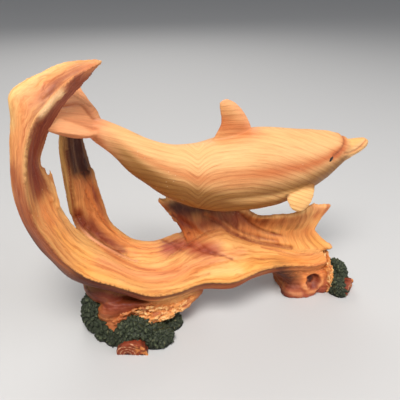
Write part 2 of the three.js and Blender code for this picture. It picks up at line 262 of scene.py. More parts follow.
def soft_noise(places, seed):
    """Smooth noise from -1 to 1, one value per place, with bumps about one unit wide."""
    cell = np.floor(places).astype(np.int64)
    step = places - cell
    step = step * step * (3 - 2 * step)
    total = np.zeros(len(places))
    for corner in np.ndindex(2, 2, 2):
        key = cell + np.array(corner)
        mixed = (key[:, 0] * 374761393 + key[:, 1] * 668265263 + key[:, 2] * 2147483629 + seed * 974634777)
        mixed = (mixed ^ (mixed >> 13)) * 1274126177 & 0x7FFFFFFF
        mixed = (mixed ^ (mixed >> 16)) & 0xFFFF
        weight = np.prod(np.where(np.array(corner) == 1, step, 1 - step), axis=1)
        total += weight * (mixed / 32767.5 - 1)
    return total


def fused_skin(skins, voxel, smoothing):
    """Skins melted into one: remeshed at the voxel size in millimetres, then smoothed."""
    joined = bpy.data.meshes.new("joined")
    bm = bmesh.new()
    for skin in skins:
        part = bpy.data.meshes.new("part")
        skin.to_mesh(part)
        skin.free()
        bm.from_mesh(part)
        bpy.data.meshes.remove(part)
    bm.to_mesh(joined)
    bm.free()
    holder = bpy.data.objects.new("joined", joined)
    bpy.context.scene.collection.objects.link(holder)
    remesh = holder.modifiers.new("melt", "REMESH")
    remesh.mode = "VOXEL"
    remesh.voxel_size = voxel
    smooth = holder.modifiers.new("smooth", "SMOOTH")
    smooth.factor = 0.5
    smooth.iterations = smoothing
    solid = holder.evaluated_get(bpy.context.evaluated_depsgraph_get())
    mesh = bpy.data.meshes.new_from_object(solid)
    bpy.data.objects.remove(holder)
    bpy.data.meshes.remove(joined)
    return mesh


def vertex_places(mesh):
    flat = np.empty(len(mesh.vertices) * 3)
    mesh.vertices.foreach_get("co", flat)
    return flat.reshape(-1, 3)


def vertex_normals(mesh):
    flat = np.empty(len(mesh.vertices) * 3)
    mesh.vertices.foreach_get("normal", flat)
    return flat.reshape(-1, 3)


def move_vertices(mesh, places):
    mesh.vertices.foreach_set("co", places.reshape(-1))
    mesh.update()


def nearest_on(grid, places):
    """For each place, the (along, around) shares of the nearest point of a grid, and its distance."""
    along, around = grid.shape[:2]
    tree = KDTree(along * around)
    for index, place in enumerate(grid.reshape(-1, 3)):
        tree.insert(place, index)
    tree.balance()
    found = [tree.find(place) for place in places]
    index = np.array([hit[1] for hit in found])
    gap = np.array([hit[2] for hit in found])
    return index // around / (along - 1), index % around / (around - 1), gap


def evened(mesh, values, rounds):
    """Values per vertex, averaged with their neighbours a number of times."""
    ends = np.empty(len(mesh.edges) * 2, np.int64)
    mesh.edges.foreach_get("vertices", ends)
    a, b = ends.reshape(-1, 2).T
    count = np.bincount(a, minlength=len(mesh.vertices)) + np.bincount(b, minlength=len(mesh.vertices))
    for _ in range(rounds):
        total = np.bincount(a, values[b], len(values)) + np.bincount(b, values[a], len(values))
        values = 0.5 * values + 0.5 * total / np.maximum(count, 1)
    return values


def keep_value(mesh, name, values):
    mesh.attributes.new(name, "FLOAT", "POINT").data.foreach_set("value", values.astype(np.float32))


def keep_colour(mesh, name, colours):
    flat = np.ones((len(colours), 4), np.float32)
    flat[:, :3] = colours
    mesh.attributes.new(name, "FLOAT_COLOR", "POINT").data.foreach_set("color", flat.reshape(-1))


def near_path(places, path, radius):
    """1 on the path, fading to 0 at about twice the radius."""
    dense = np.array(path, float)
    if len(path) > 1:
        dense = smooth_path(path, np.linspace(0, 1, 10 * len(path)))
    inside = (places > dense.min(axis=0) - 3 * radius) & (places < dense.max(axis=0) + 3 * radius)
    inside = np.flatnonzero(inside.all(axis=1))
    best = np.full(len(inside), 1e9)
    for knot in dense:
        best = np.minimum(best, ((places[inside] - knot) ** 2).sum(axis=1))
    mask = np.zeros(len(places))
    mask[inside] = np.exp(-best / radius ** 2)
    return mask


def soft_step(values, low, high):
    share = np.clip((values - low) / (high - low), 0, 1)
    return share * share * (3 - 2 * share)


def proud_of(mesh, rounds):
    """How far each vertex stands out of its smoothed surroundings, in millimetres."""
    places, normals = vertex_places(mesh), vertex_normals(mesh)
    calm = np.stack([evened(mesh, places[:, axis], rounds) for axis in range(3)], axis=1)
    return ((places - calm) * normals).sum(axis=1)


class Airbrush:
    """Paint sprayed on a mesh: each coat is a colour along a path, on faces that look one way."""

    def __init__(self, places, normals, base, streaks=0.0):
        self.places = places
        self.normals = normals
        self.streaks = streaks
        self.colours = np.tile(np.array(base, float), (len(places), 1))

    def coat(self, colour, strength, radius, path, facing=None, edge=0.25, times=1):
        mask = near_path(self.places, path, radius)
        if facing is not None:
            look = self.normals @ np.array(Vector(facing).normalized())
            mask = mask * np.clip((look + edge) / (2 * edge), 0, 1)
        for _ in range(times):
            self.spread(colour, strength * mask)

    def coats(self, rows):
        for row in rows:
            self.coat(*row)

    def spread(self, colour, mask):
        mask = mask * (1 + self.streaks * (1 - mask))
        mask = np.clip(mask, 0, 1)[:, None]
        self.colours = self.colours * (1 - mask) + np.array(colour) * mask


strand_crispness = 0.27
front_grid = swept_places(front_strand_guides(), 121, 420, strand_crispness)
rear_grid = swept_places(rear_guides, 91, 240, strand_crispness)
wall_grid = slab_places(wall_guides, 200, 45, wall_half_thickness)
left_grid = stem_places(left_stem, 90, 30)
right_grid = stem_places(right_stem, 90, 30)
wave_grids = [front_grid, rear_grid, wall_grid, left_grid, right_grid]
rear_number = 1
wall_number = 2


def table_lump(centre, radii):
    """A rounded lump of the casting, cut off flat where it stands on the table."""
    bm = bmesh.new()
    bmesh.ops.create_icosphere(bm, subdivisions=4, radius=1)
    bmesh.ops.scale(bm, vec=radii, verts=bm.verts)
    bmesh.ops.translate(bm, vec=centre, verts=bm.verts)
    everything = bm.verts[:] + bm.edges[:] + bm.faces[:]
    bmesh.ops.bisect_plane(bm, geom=everything, plane_co=(0, 0, 0), plane_no=(0, 0, -1), clear_outer=True)
    bmesh.ops.holes_fill(bm, edges=[edge for edge in bm.edges if edge.is_boundary])
    return bm


def splinter(start, end, width, thickness, face):
    """A pointed sliver of wood from its root to its tip, lying flat against a face."""
    start, end = Vector(start), Vector(end)
    bm = bmesh.new()
    bmesh.ops.create_cone(bm, cap_ends=True, segments=6, radius1=0.5, radius2=0.22, depth=1)
    bmesh.ops.scale(bm, vec=(width, thickness, (end - start).length), verts=bm.verts)
    line = (end - start).normalized()
    side = Vector(face).cross(line).normalized()
    turn = Matrix((side, line.cross(side), line)).transposed()
    bmesh.ops.rotate(bm, cent=(0, 0, 0), matrix=turn, verts=bm.verts)
    bmesh.ops.translate(bm, vec=(start + end) / 2, verts=bm.verts)
    return bm


# The slivers torn up at the curl, on the inner edge of the front strand, on the rear strand's step
# and on the wall's crest: root, tip, width, thickness and the face each lies on.
torn_slivers = [
    ((-80, -13.5, 141.5), (-76.0, -15.6, 146.4), 3.4, 2.2, (0.4, -1, 0)),
    ((-76.5, -13.2, 144.5), (-73.6, -15.6, 149.4), 3.2, 2.0, (0.4, -1, 0)),
    ((-73.5, -12.8, 147), (-71.2, -15.3, 151.6), 2.8, 2.0, (0.4, -1, 0)),
    ((-69.8, -12.2, 149), (-67.6, -14.6, 153.2), 2.4, 1.8, (0.4, -1, 0)),
    ((-88.8, -2.4, 86), (-90.6, -2.6, 104.6), 4.2, 3.2, (1, -0.3, 0)),
    ((-86.4, -0.2, 80), (-88.0, -0.8, 102.4), 3.6, 3.0, (1, -0.3, 0)),
    ((-66.2, 26.4, 78), (-67.6, 26.2, 88.8), 3.4, 2.6, (0.9, -0.4, 0)),
    ((-63.8, 28.6, 76), (-64.9, 28.9, 86.4), 3.0, 2.6, (0.9, -0.4, 0)),
    ((-25.5, 9, 66), (-28.4, 8.2, 71.6), 3.2, 2.6, (0, -1, 0)),
    ((-22.5, 9, 66.5), (-24.2, 8.4, 72.4), 2.8, 2.4, (0, -1, 0)),
    ((-19.5, 9.4, 67), (-20.4, 8.8, 72.0), 2.6, 2.2, (0, -1, 0)),
    ((-18.5, 8.5, 53.5), (-21.4, 7.0, 57.5), 3.4, 2.4, (0, -1, 0.2)),
    ((76, -10.6, 56), (81.4, -10.4, 56.6), 3.6, 2.6, (0, -1, 0)),
    ((66, -9.6, 56), (68.6, -10.6, 60.4), 3.2, 2.4, (0, -1, 0)),
]
wave_lumps = [((-65, -4, 28), (14.5, 15.5, 11)), ((60, -20, 2), (15, 8, 9)), ((74, -19, 4), (9, 9, 15))]
wave_voxel = 0.785
wave_smoothing = 4
grid_lengths = np.array([330.0, 210.0, 115.0, 24.0, 24.0])
grid_girths = np.array([70.0, 55.0, 60.0, 150.0, 120.0])
wall_grain_spread = 0.45


def wave_mesh():
    """The fused wave, with the number of the form each vertex lies on and its place in the grain."""
    skins = [skin_from_grid(grid) for grid in wave_grids]
    skins += [table_lump(*lump) for lump in wave_lumps]
    skins += [splinter(*sliver) for sliver in torn_slivers]
    mesh = fused_skin(skins, wave_voxel, wave_smoothing)
    places = vertex_places(mesh)
    hits = [nearest_on(grid, places) for grid in wave_grids]
    nearest = np.argmin([gap for _, _, gap in hits], axis=0)
    t = np.choose(nearest, [hit[0] for hit in hits]) * grid_lengths[nearest]
    s = np.choose(nearest, [hit[1] for hit in hits]) * grid_girths[nearest]
    t[nearest == wall_number] *= wall_grain_spread
    upright = nearest >= wall_number
    along = evened(mesh, np.where(upright, s, t), 3)
    across = evened(mesh, np.where(upright, t, s), 1)
    return mesh, nearest, along, across


wave, wave_part, wave_along, wave_across = wave_mesh()

# Grooves and folds that the knife left: depth (raised where negative), half width and path.
wave_grooves = {
    "pocket": (2.4, 3.2, [
        (-75.2, 19.0, 61.5), (-71.0, 18.0, 55.2), (-67.4, 16.8, 50.8), (-63.2, 15.2, 46.8),
        (-58.6, 13.2, 42.8), (-53.4, 10.8, 38.8), (-46.5, 7.2, 34.8)]),
    "rear_strand_line": (1.0, 0.9, [
        (-70.3, 22.7, 77.2), (-66.4, 25.2, 65.3), (-61, 24.8, 52.5), (-51.8, 21.4, 41.6),
        (-40.9, 14.1, 35.3)]),
    "wall_curl": (1.3, 1.2, [
        (-0.5, 5.7, 55.9), (7.6, 2.7, 51), (13.5, 0.1, 45.4), (21.2, -0.5, 39.6), (30.3, -1.4, 34.4),
        (43.4, -6.2, 31.3), (54.3, -11.1, 29.6)]),
    "fold": (0.9, 1.0, [
        (-13.7, 17.6, 39.6), (-10.5, 6.6, 43.6), (-4.8, -3.8, 38.9), (2.6, -13.6, 37.4), (8.7, -18.1, 35.9)]),
    "left_fold": (1.0, 0.9, [(-20, 12.8, 36.8), (-11.1, 2.9, 37.8), (-7, -4.3, 37.5), (-0.1, -12.3, 37.2)]),
    "low_fold": (0.8, 0.8, [(-25.5, 17.4, 36.1), (-19, 8, 35), (-15, 0, 34), (-10, -8, 33.5)]),
    "wall_fold": (0.9, 1.0, [
        (11, 4.5, 56.6), (16.1, 3, 49.1), (22.7, 1.7, 42.6), (33.1, 0.2, 36.7), (47, -5, 33)]),
    "right_wall_fold": (0.8, 0.9, [
        (22, 4.5, 55), (27.5, 3.3, 48.3), (34.2, 1.5, 41.9), (42.8, -2.2, 38.4), (58, -7, 35)]),
    "wall_rib": (-0.9, 1.5, [(4, 5, 55), (10.5, 2.5, 50), (17, 0.5, 44), (25, -0.5, 39)]),
    "fold_rib": (-0.9, 1.4, [(-15, 9, 58), (-8, 8, 52), (-3, 5, 46), (4, -3, 42), (12, -10, 39)]),
    "wall_hollow": (1.1, 1.1, [(-20, 9, 58), (-12, 8, 51), (-6, 7, 46)]),
    "strand_rib": (-0.9, 1.5, [
        (-90.6, -2.6, 98), (-89.8, -2.4, 88.9), (-87.3, 0.1, 79.5), (-80.5, 8, 62.5), (-74, 11, 53)]),
    "trough_line": (0.9, 0.9, [
        (-80, -6, 60), (-70, -6, 50), (-58, -8, 42), (-44, -12, 35), (-30, -16, 32), (-14, -18, 32)]),
    "lower_trough_line": (0.7, 0.8, [
        (-84, -12, 62), (-72, -14, 50), (-58, -18, 41), (-42, -22, 35), (-26, -22, 31.5), (-8, -22, 32)]),
    "upper_trough_line": (0.6, 0.7, [
        (-72, 2, 50), (-62, 1, 43), (-48, -4, 35), (-34, -8, 31), (-18, -10, 32)]),
    "right_trough_line": (0.6, 0.7, [(6, -22, 33), (20, -18, 32), (36, -18, 30), (52, -20, 28)]),
    "curl_line": (0.9, 0.9, [(-86, -14, 142), (-76, -13, 148), (-66, -11, 152.5)]),
    "rear_corner": (1.3, 0.9, [
        (-77.2, 18.6, 104), (-77.6, 18.7, 86), (-77.8, 19.0, 73), (-77.6, 18.8, 63), (-77.2, 17.4, 57.5)]),
    "pocket_rim": (-1.0, 0.9, [
        (-76.8, 16.6, 57.4), (-71.0, 14.0, 50.6), (-64.4, 10.6, 44.4), (-55.2, 7.6, 37.8),
        (-45.4, 4.4, 32.8)]),
    "rear_face_line": (0.8, 0.7, [
        (-66.8, 26, 84), (-63.5, 26.8, 70), (-58.5, 26.6, 57), (-51, 24.6, 46), (-42, 20, 39)]),
    "wall_foot": (0.9, 0.8, [
        (35, -6.8, 32), (45.9, -11.6, 29.4), (52.9, -15.1, 27.7), (60.7, -17.3, 26.9), (68.4, -19.4, 27),
        (75, -20.6, 29.4)]),
    "lip_line": (0.6, 0.8, [(44, -14, 29), (54, -18, 27.2), (64, -20.5, 26.2), (72, -22, 27)]),
}
# Where the wood is torn rough: path and radius.
torn_places = [
    ([(-28, 9, 70), (-20, 9.5, 70)], 4.5),
    ([(-22, 9, 60), (-20, 8, 53)], 3.5),
    ([(68, -10, 59), (81, -10.4, 56)], 4.0),
    ([(79, -18, 31), (80, -16, 38)], 3.5),
    ([(-60, -10, 155.5), (-58, -9, 156)], 1.8),
]
torn_depth = 0.62
rear_step_height = 87
rear_step_depth = 1.3
knot_hole = (63.6, 11.0)
knot_hole_reach = (5.4, 6.0)
knot_hole_depth = 5.0
knot_rim_height = 0.5


def groove_path(name):
    return wave_grooves[name][2]


def grain_noise(length, width, apart, seed):
    """Noise drawn out along the wave's grain, different on each of its forms."""
    return soft_noise(np.stack([wave_along / length, wave_across / width, wave_part * apart], axis=1), seed)


def torn_share(places):
    torn = (wave_part > wall_number) * soft_step(27 - places[:, 2], 0, 6)
    for path, radius in torn_places:
        torn = np.maximum(torn, near_path(places, path, radius))
    return torn


def knot_distance(places):
    """Distance from the middle of the knot hole, 1 at its ragged edge."""
    x = (places[:, 0] - knot_hole[0]) / knot_hole_reach[0]
    z = (places[:, 2] - knot_hole[1]) / knot_hole_reach[1]
    return np.hypot(x, z) + 0.12 * soft_noise(places / 1.8, 31)


def carve_wave():
    """Grain, torn wood, grooves, the rear strand's step and the knot hole, cut into the fused wave."""
    places, normals = vertex_places(wave), vertex_normals(wave)
    broad = grain_noise(60, 3.4, 7.3, 3)
    flow = grain_noise(42, 1.7, 7.3, 4)
    fine = grain_noise(15, 0.95, 7.3, 5)
    relief = 0.36 * (1 - 2 * np.abs(broad)) + 0.20 * (1 - 2 * np.abs(flow)) + 0.08 * fine
    relief *= np.where(wave_part <= wall_number, 1, 0.5)
    crumble = soft_noise(places / np.array((2.6, 2.6, 4.5)), 11) + 0.6 * soft_noise(places / 1.3, 12)
    torn = torn_share(places)
    relief += torn_depth * crumble * torn
    ragged = 1 + 0.35 * soft_noise(places / 2.2, 21)
    for depth, half_width, path in wave_grooves.values():
        relief -= depth * ragged * near_path(places, path, half_width)
    step_down = soft_step(rear_step_height + 1.6 * crumble - places[:, 2], -0.4, 0.4)
    step_down *= soft_step(places[:, 2], 44, 60)
    facing_gap = np.clip(normals @ np.array((0.9, -0.4, 0.0)), 0, 1)
    relief += rear_step_depth * step_down * facing_gap * (wave_part == rear_number)
    moved = places + normals * relief[:, None]
    near_front = (places[:, 1] < -18) & (normals[:, 1] < -0.1)
    hole = knot_distance(places)
    moved[:, 1] += near_front * knot_hole_depth * soft_step(1.0 - hole, 0, 0.55)
    moved[:, 1] -= near_front * knot_rim_height * np.exp(-((hole - 1.2) / 0.3) ** 2)
    moved[:, 2] = np.maximum(moved[:, 2], 0)
    move_vertices(wave, moved)
    return torn, hole, near_front


wave_torn, wave_hole, wave_front = carve_wave()

pale_wood_and_highlight = (0.92, 0.55, 0.21)
tan_wood = (0.84, 0.43, 0.135)
honey_wood = (0.90, 0.42, 0.105)
cream_wood = (0.95, 0.60, 0.30)
blush_wood = (0.80, 0.31, 0.125)
pink_wood = (0.82, 0.36, 0.20)
orange_wood = (0.82, 0.27, 0.07)
# The brick red, red and dark wood colours are the wood's paint, and several coats below also use them as
# painted shade.
brick_wood_and_shade = (0.44, 0.11, 0.032)
red_wood_and_shade = (0.23, 0.035, 0.012)
dark_wood_and_shade = (0.045, 0.006, 0.002)
purple_stain = (0.38, 0.065, 0.035)
olive_wood = (0.60, 0.34, 0.10)
mauve_stain = (0.33, 0.085, 0.045)
wave_stripe_shares = np.array([0.6, 0.75, 0.5, 0.3, 0.3])

# The sprayed coats, painted shade and a painted highlight among them, in the order they go on: colour,
# strength, radius and path, then where it matters the way a painted face looks, how softly that ends,
# and how many times the coat is sprayed.
outwards = (-0.6, -0.8, 0.1)
inwards = (1.0, -0.35, 0.1)
upwards = (0, -0.2, 1)
gapwards = (0.9, -0.4, 0)
up_front = (0, -1, 0.35)
frontwards = (0, -1, 0.2)
front_line = np.array(ridge)
inner_line = np.array(inner_edge)
outer_line = np.array(outer_edge)
strand_face = (front_line[:11] + inner_line[:11]) / 2
strand_side = (front_line[:12] + outer_line[:12]) / 2
front_strand_coats = [
    (blush_wood, 0.95, 7, strand_side[1:10] + (0, -3, 0), outwards),
    (orange_wood, 0.5, 3.2, strand_side[2:9], outwards),
    (pale_wood_and_highlight, 0.9, 5.0, outer_line[1:6], (-0.5, -0.5, 0.6)),
    # A pale line along the ridge: a painted highlight on its edge.
    (pale_wood_and_highlight, 0.8, 1.9, front_line[3:9], (-0.5, -1, 0.2)),
    # Painted shade: brick red and dark wood darken the outer face low down, which turns away from the light.
    (brick_wood_and_shade, 0.75, 5.5, [(-104.5, -13, 108), (-103.6, -16.5, 99), (-104, -15.5, 88), (-102.5, -15.5, 77),
                             (-98, -16, 65), (-91, -17, 54)], outwards, 0.6, 2),
    (brick_wood_and_shade, 0.85, 7, [(-106, -12, 84), (-102, -15, 68), (-95, -15, 55), (-86, -17, 44)],
     outwards, 0.6, 2),
    (dark_wood_and_shade, 0.9, 6.5, [(-105, -10, 70), (-98, -11, 54), (-90, -13, 43), (-78, -18, 33)],
     (-0.6, -0.5, -0.5), 0.5),
    (red_wood_and_shade, 0.95, 8, strand_face[1:8], inwards, 0.35, 2),
    (mauve_stain, 0.85, 4.5, [(-63, -11, 152.5), (-67, -12, 149.5), (-72, -12.5, 145.5), (-78, -13, 141)],
     (1, -0.6, -0.2), 0.5, 2),
    (orange_wood, 0.95, 8, strand_face[8:], inwards, 0.5),
    (honey_wood, 0.8, 6, [(-88, -8, 68), (-82, -6, 58), (-74, -6, 50)], (0.7, -0.3, 0.6), 0.5),
    (pale_wood_and_highlight, 0.9, 1.6, inner_line[7:11], inwards, 0.8),
    (olive_wood, 0.7, 0.8, front_line[5:12] + (1.0, 0.8, 0), inwards, 0.9),
    # Painted shadow under the lip of the trough.
    (dark_wood_and_shade, 0.95, 4.5, front_line[11:21] + (0, 2.6, -4.0), (0, -0.82, -0.57), 0.45, 2),
    # Painted shade on the outer face low down.
    (brick_wood_and_shade, 0.95, 5, [(-101.5, -18, 90), (-99, -18, 75), (-93, -18.5, 62), (-86, -19.5, 52),
                           (-76, -22, 44)], (-0.6, -0.8, -0.1), 0.6),
]
trough_coats = [
    (honey_wood, 0.95, 8, front_line[11:20] + (0, 5, 1), upwards, 0.5),
    (blush_wood, 0.8, 6, [(-66, -6, 44), (-48, -10, 34), (-28, -12, 30.5), (-6, -12, 33)], upwards),
    (orange_wood, 0.8, 4.0, [(-64, 10, 45), (-53, 1, 36), (-39.6, -5, 30.7), (-24, -9, 30)], upwards, 0.5),
    (brick_wood_and_shade, 0.55, 2.4, [(-62, 6, 42), (-50, -1, 34.5), (-37, -7, 30.5), (-24, -11, 30)], upwards, 0.5),
    (orange_wood, 0.5, 5, [(-74, -12, 51), (-56, -14, 40), (-36, -18, 33), (-14, -18, 32)], upwards),
    (pale_wood_and_highlight, 0.55, 3, [(-60, -22, 41), (-44, -27, 34.5), (-28, -25, 31), (-10, -22, 32), (10, -26, 32)],
     upwards),
]
rear_strand_coats = [
    (red_wood_and_shade, 0.85, 1.2, groove_path("rear_strand_line")),
    (orange_wood, 0.95, 9, [(-70, 24, 84), (-67, 25, 70), (-61, 24, 54), (-48, 17, 40), (-34, 12, 35)],
     (0.7, -0.6, 0.4), 0.9),
    (olive_wood, 0.95, 2.8, [(-79.5, 18.5, 114), (-79.5, 18.5, 97), (-80, 19, 82), (-79.8, 19.2, 66)],
     (-0.4, -1, 0.1), 0.8),
    (brick_wood_and_shade, 0.9, 3.0, [(-75, 19, 66), (-73, 17, 58)], (0.2, -1, 0.2), 0.7),
    (red_wood_and_shade, 0.9, 3.9, groove_path("pocket")[:6], None, 0, 2),
    (pink_wood, 0.95, 1.0, groove_path("pocket_rim")),
    (red_wood_and_shade, 0.9, 1.1, groove_path("rear_corner")),
    (brick_wood_and_shade, 0.8, 0.8, groove_path("rear_face_line")),
    (honey_wood, 0.7, 4, [(-62, 29, 64), (-57, 28.5, 52), (-48, 27, 41), (-38, 22, 36)],
     (0.5, -0.3, 0.8), 0.6),
    (purple_stain, 0.5, 2.2, [(-66, 26, 78), (-62, 26, 64), (-57, 25, 52)], gapwards),
    (dark_wood_and_shade, 0.95, 6.5, [(-68, 18, 132), (-71, 21, 118), (-70.5, 22.5, 106), (-69.5, 24, 97),
                            (-68, 25.5, 91)], (0.7, -0.8, 0), 0.6, 2),
    (dark_wood_and_shade, 0.95, 3.2, [(-72.5, 15, 132), (-74.6, 18.2, 118), (-74.8, 19, 106), (-74.2, 19.6, 97),
                            (-73.6, 20, 91)], (0.7, -0.7, 0), 0.6),
    (purple_stain, 0.8, 1.4, [(-75, 19.6, 87), (-74.6, 19.8, 80), (-75, 19.6, 74)]),
]
wall_coats = [
    (purple_stain, 0.85, 5.5, [(-24, 9, 36), (-14, 6, 37.5), (-8, -1, 38), (0, -9, 37.5)], upwards, 0.6, 2),
    (blush_wood, 0.75, 4, [(-2, -14, 37), (8, -16, 36), (18, -12, 35)], upwards, 0.6),
    (orange_wood, 0.9, 9, [(-22, 9, 60), (-12, 7, 48), (6, 4, 47), (24, 2, 44), (44, -3, 40), (66, -9, 42)],
     up_front, 0.6),
    (brick_wood_and_shade, 0.9, 4.2, [(-27, 8, 66), (-22, 8, 58), (-17, 9, 50)], (-0.6, -1, 0.3), 0.7),
    # Painted shadow: the wall's top under the dolphin's belly is darkened.
    (dark_wood_and_shade, 0.98, 8, [(-19, 8, 66), (-12, 8, 61), (0, 6, 61), (14, 5, 60), (22, 4, 57)], up_front, 0.6),
    (red_wood_and_shade, 0.85, 5.5, [(-14, 8, 53), (-4, 6, 49), (8, 4, 52), (20, 3, 50)], up_front, 0.6),
    (brick_wood_and_shade, 0.8, 4.5, [(24, 3, 50), (36, 1, 47), (50, -5, 49), (64, -9, 52)], up_front, 0.6),
    (tan_wood, 0.7, 4.5, [(40, -2, 41), (54, -6, 42), (66, -10, 46), (72, -11, 50)], up_front, 0.6),
    (pale_wood_and_highlight, 0.75, 2.0, [(24, 3, 57), (34, 0, 52.4), (45, -5, 53), (57, -10, 55.5), (67, -11, 59)],
     up_front, 0.8),
    (blush_wood, 0.9, 3.5, [(68, -11, 58), (75, -11, 56.5), (82, -11, 55)], frontwards, 0.6),
    (orange_wood, 0.8, 2.6, [(70, -11, 51), (74, -10.5, 52), (79, -10.5, 53.5)], (0, -1, -0.3), 0.6),
    (honey_wood, 0.9, 5.5, [(50, -14, 32), (62, -17, 33), (74, -19, 35), (80, -19, 33)], (0, -0.8, 0.6), 0.6),
    (blush_wood, 0.9, 2.6, [(79, -18.5, 33), (81.5, -19.5, 31)]),
    (red_wood_and_shade, 0.9, 1.3, groove_path("wall_curl")),
    (brick_wood_and_shade, 0.9, 1.0, groove_path("wall_foot")),
    (brick_wood_and_shade, 0.7, 0.9, groove_path("lip_line")),
    (brick_wood_and_shade, 0.6, 3.5, [(70, -11, 51), (73, -11.3, 53), (79, -10.5, 54.5)], (0, -1, 0), 0.6),
]
red_grooves = ("fold", "left_fold", "low_fold", "wall_fold", "right_wall_fold", "wall_hollow")
brick_grooves = ("trough_line", "lower_trough_line", "upper_trough_line", "right_trough_line")
groove_coats = [(red_wood_and_shade, 0.8, 1.0, groove_path(name)) for name in red_grooves]
groove_coats += [(brick_wood_and_shade, 0.55, 0.8, groove_path(name)) for name in brick_grooves]
sliver_coats = [
    (pale_wood_and_highlight, 0.95, 3.2, [(-28, 8.5, 70.5), (-24, 9, 71), (-20, 9, 70.5)]),
    (cream_wood, 0.95, 2.4, [(-87, -17.4, 136), (-82, -16, 141), (-78.5, -15.6, 144.5)], (0.2, -1, 0.2), 0.6),
    (blush_wood, 0.8, 3.5, [(-60, -9, 156), (-65, -12, 153.5)]),
]
foot_coats = [
    (red_wood_and_shade, 0.9, 9, [(-88, -14, 34), (-76, -18, 30), (-60, -24, 28), (-44, -26, 26)], (-0.3, -1, 0), 0.6),
    # Painted shade where the strand's foot looks down.
    (dark_wood_and_shade, 0.85, 7, [(-90, -12, 36), (-82, -12, 30), (-74, -18, 31)], (-0.5, -1, -0.3), 0.7),
    (orange_wood, 0.9, 7, [(-44, -27, 25), (-36, -27, 20), (-24, -22, 20)], (0.3, -1, 0), 0.6),
    (tan_wood, 0.85, 5, [(-38, -27, 25), (-30, -25, 22), (-20, -20, 22)], (0.3, -1, 0), 0.6),
    (orange_wood, 0.95, 8, [(44, -24, 22), (58, -25, 20), (70, -26, 20)], frontwards, 0.6),
    (purple_stain, 0.9, 7, [(46, -24, 5), (58, -27, 3), (70, -26, 3)], frontwards, 0.6),
    # Painted shade: red and dark wood darken the left side of the right foot.
    (red_wood_and_shade, 0.85, 6, [(38, -20, 22), (42, -20, 14), (44, -20, 6)], (-0.4, -1, 0), 0.7),
    (dark_wood_and_shade, 0.8, 6, [(38, -18, 20), (42, -18, 10), (44, -18, 3)], (-0.7, -1, 0), 0.6),
    (dark_wood_and_shade, 0.75, 6, [(40, -25, 25), (47, -23.5, 17), (49, -24.5, 12)], (-0.2, -1, 0), 0.6),
    (red_wood_and_shade, 0.7, 8, [(-68, -19, 30), (-62, -23, 24), (-54, -26, 22)], (-0.2, -1, 0), 0.6),
    (blush_wood, 0.7, 2.5, [(48, -26, 5), (54, -27.5, 3.5)], frontwards, 0.6),
]


def paint_underside(brush):
    """Painted shade in dark wood wherever the low parts look down, painted shade in brick red and dark wood
    under the lip, and brick red on the feet.
    """
    length, depth, height = brush.places.T
    low = np.clip((-brush.normals[:, 2] - 0.12) / 0.5, 0, 1) * np.clip((60 - height) / 15, 0, 1)
    # Painted shade on the low faces that look down.
    brush.spread(dark_wood_and_shade, 0.93 * low)
    lip = front_line[8:]
    lip_face = soft_step(0.85 - brush.normals[:, 2], 0, 0.5) * (height > 18) * soft_step(length, -92, -80)
    lip_face *= soft_step(np.interp(length, lip[:, 0], lip[:, 2]) - height, 0, 1.8)
    lip_face *= soft_step(np.interp(length, lip[:, 0], lip[:, 1]) + 9 - depth, 0, 3)
    # Painted shade under the lip: brick red, with dark wood towards the left.
    brush.spread(brick_wood_and_shade, 0.85 * lip_face)
    brush.spread(dark_wood_and_shade, 0.8 * lip_face * soft_step(5 - length, 0, 40))
    foot = (wave_part > wall_number) | (height < 25)
    brush.spread(brick_wood_and_shade, 0.9 * foot * (wave_part != wall_number))


def paint_knot_hole(brush):
    """An orange rim, pink below, round a hole that darkens to its bottom."""
    height = brush.places[:, 2]
    brush.spread(orange_wood, 0.9 * wave_front * np.exp(-((wave_hole - 1.2) / 0.25) ** 2))
    brush.spread(blush_wood, 0.8 * wave_front * np.exp(-((wave_hole - 1.15) / 0.2) ** 2) * (height < 11))
    brush.spread(red_wood_and_shade, 0.97 * wave_front * soft_step(1.05 - wave_hole, 0, 0.3))
    brush.spread(dark_wood_and_shade, 0.9 * wave_front * soft_step(0.55 - wave_hole, 0, 0.4))


def paint_wave():
    streaks = grain_noise(30, 1.5, 5.1, 41)
    streaks += 0.5 * grain_noise(14, 0.8, 2.1, 42)
    proud = proud_of(wave, 8)
    brush = Airbrush(vertex_places(wave), vertex_normals(wave), tan_wood, 0.9 * streaks)
    brush.coats(front_strand_coats + trough_coats + rear_strand_coats)
    brush.coats(wall_coats + groove_coats + sliver_coats)
    paint_underside(brush)
    brush.coats(foot_coats)
    paint_knot_hole(brush)
    brush.spread(pale_wood_and_highlight, 0.45 * wave_torn * soft_step(proud, 0.1, 0.5) * (brush.places[:, 2] > 30))
    # Darker in the hollows: partly the dark wash of the casting's paint and partly painted shade.
    brush.spread(brick_wood_and_shade, 0.6 * soft_step(-proud, 0.16, 0.6))
    brush.spread(dark_wood_and_shade, 0.3 * soft_step(-proud, 0.6, 1.3))
    keep_colour(wave, "wash", brush.colours)
    keep_value(wave, "along", wave_along)
    keep_value(wave, "across", wave_across)
    keep_value(wave, "stripe", wave_stripe_shares[wave_part])


paint_wave()
def link(tree, source, target):
    tree.links.new(source, target)


def math_node(tree, operation, first, second=0.0, clamp=False):
    node = tree.nodes.new("ShaderNodeMath")
    node.operation = operation
    node.use_clamp = clamp
    for socket, value in zip(node.inputs, (first, second)):
        if isinstance(value, (int, float)):
            socket.default_value = value
        else:
            link(tree, value, socket)
    return node.outputs[0]


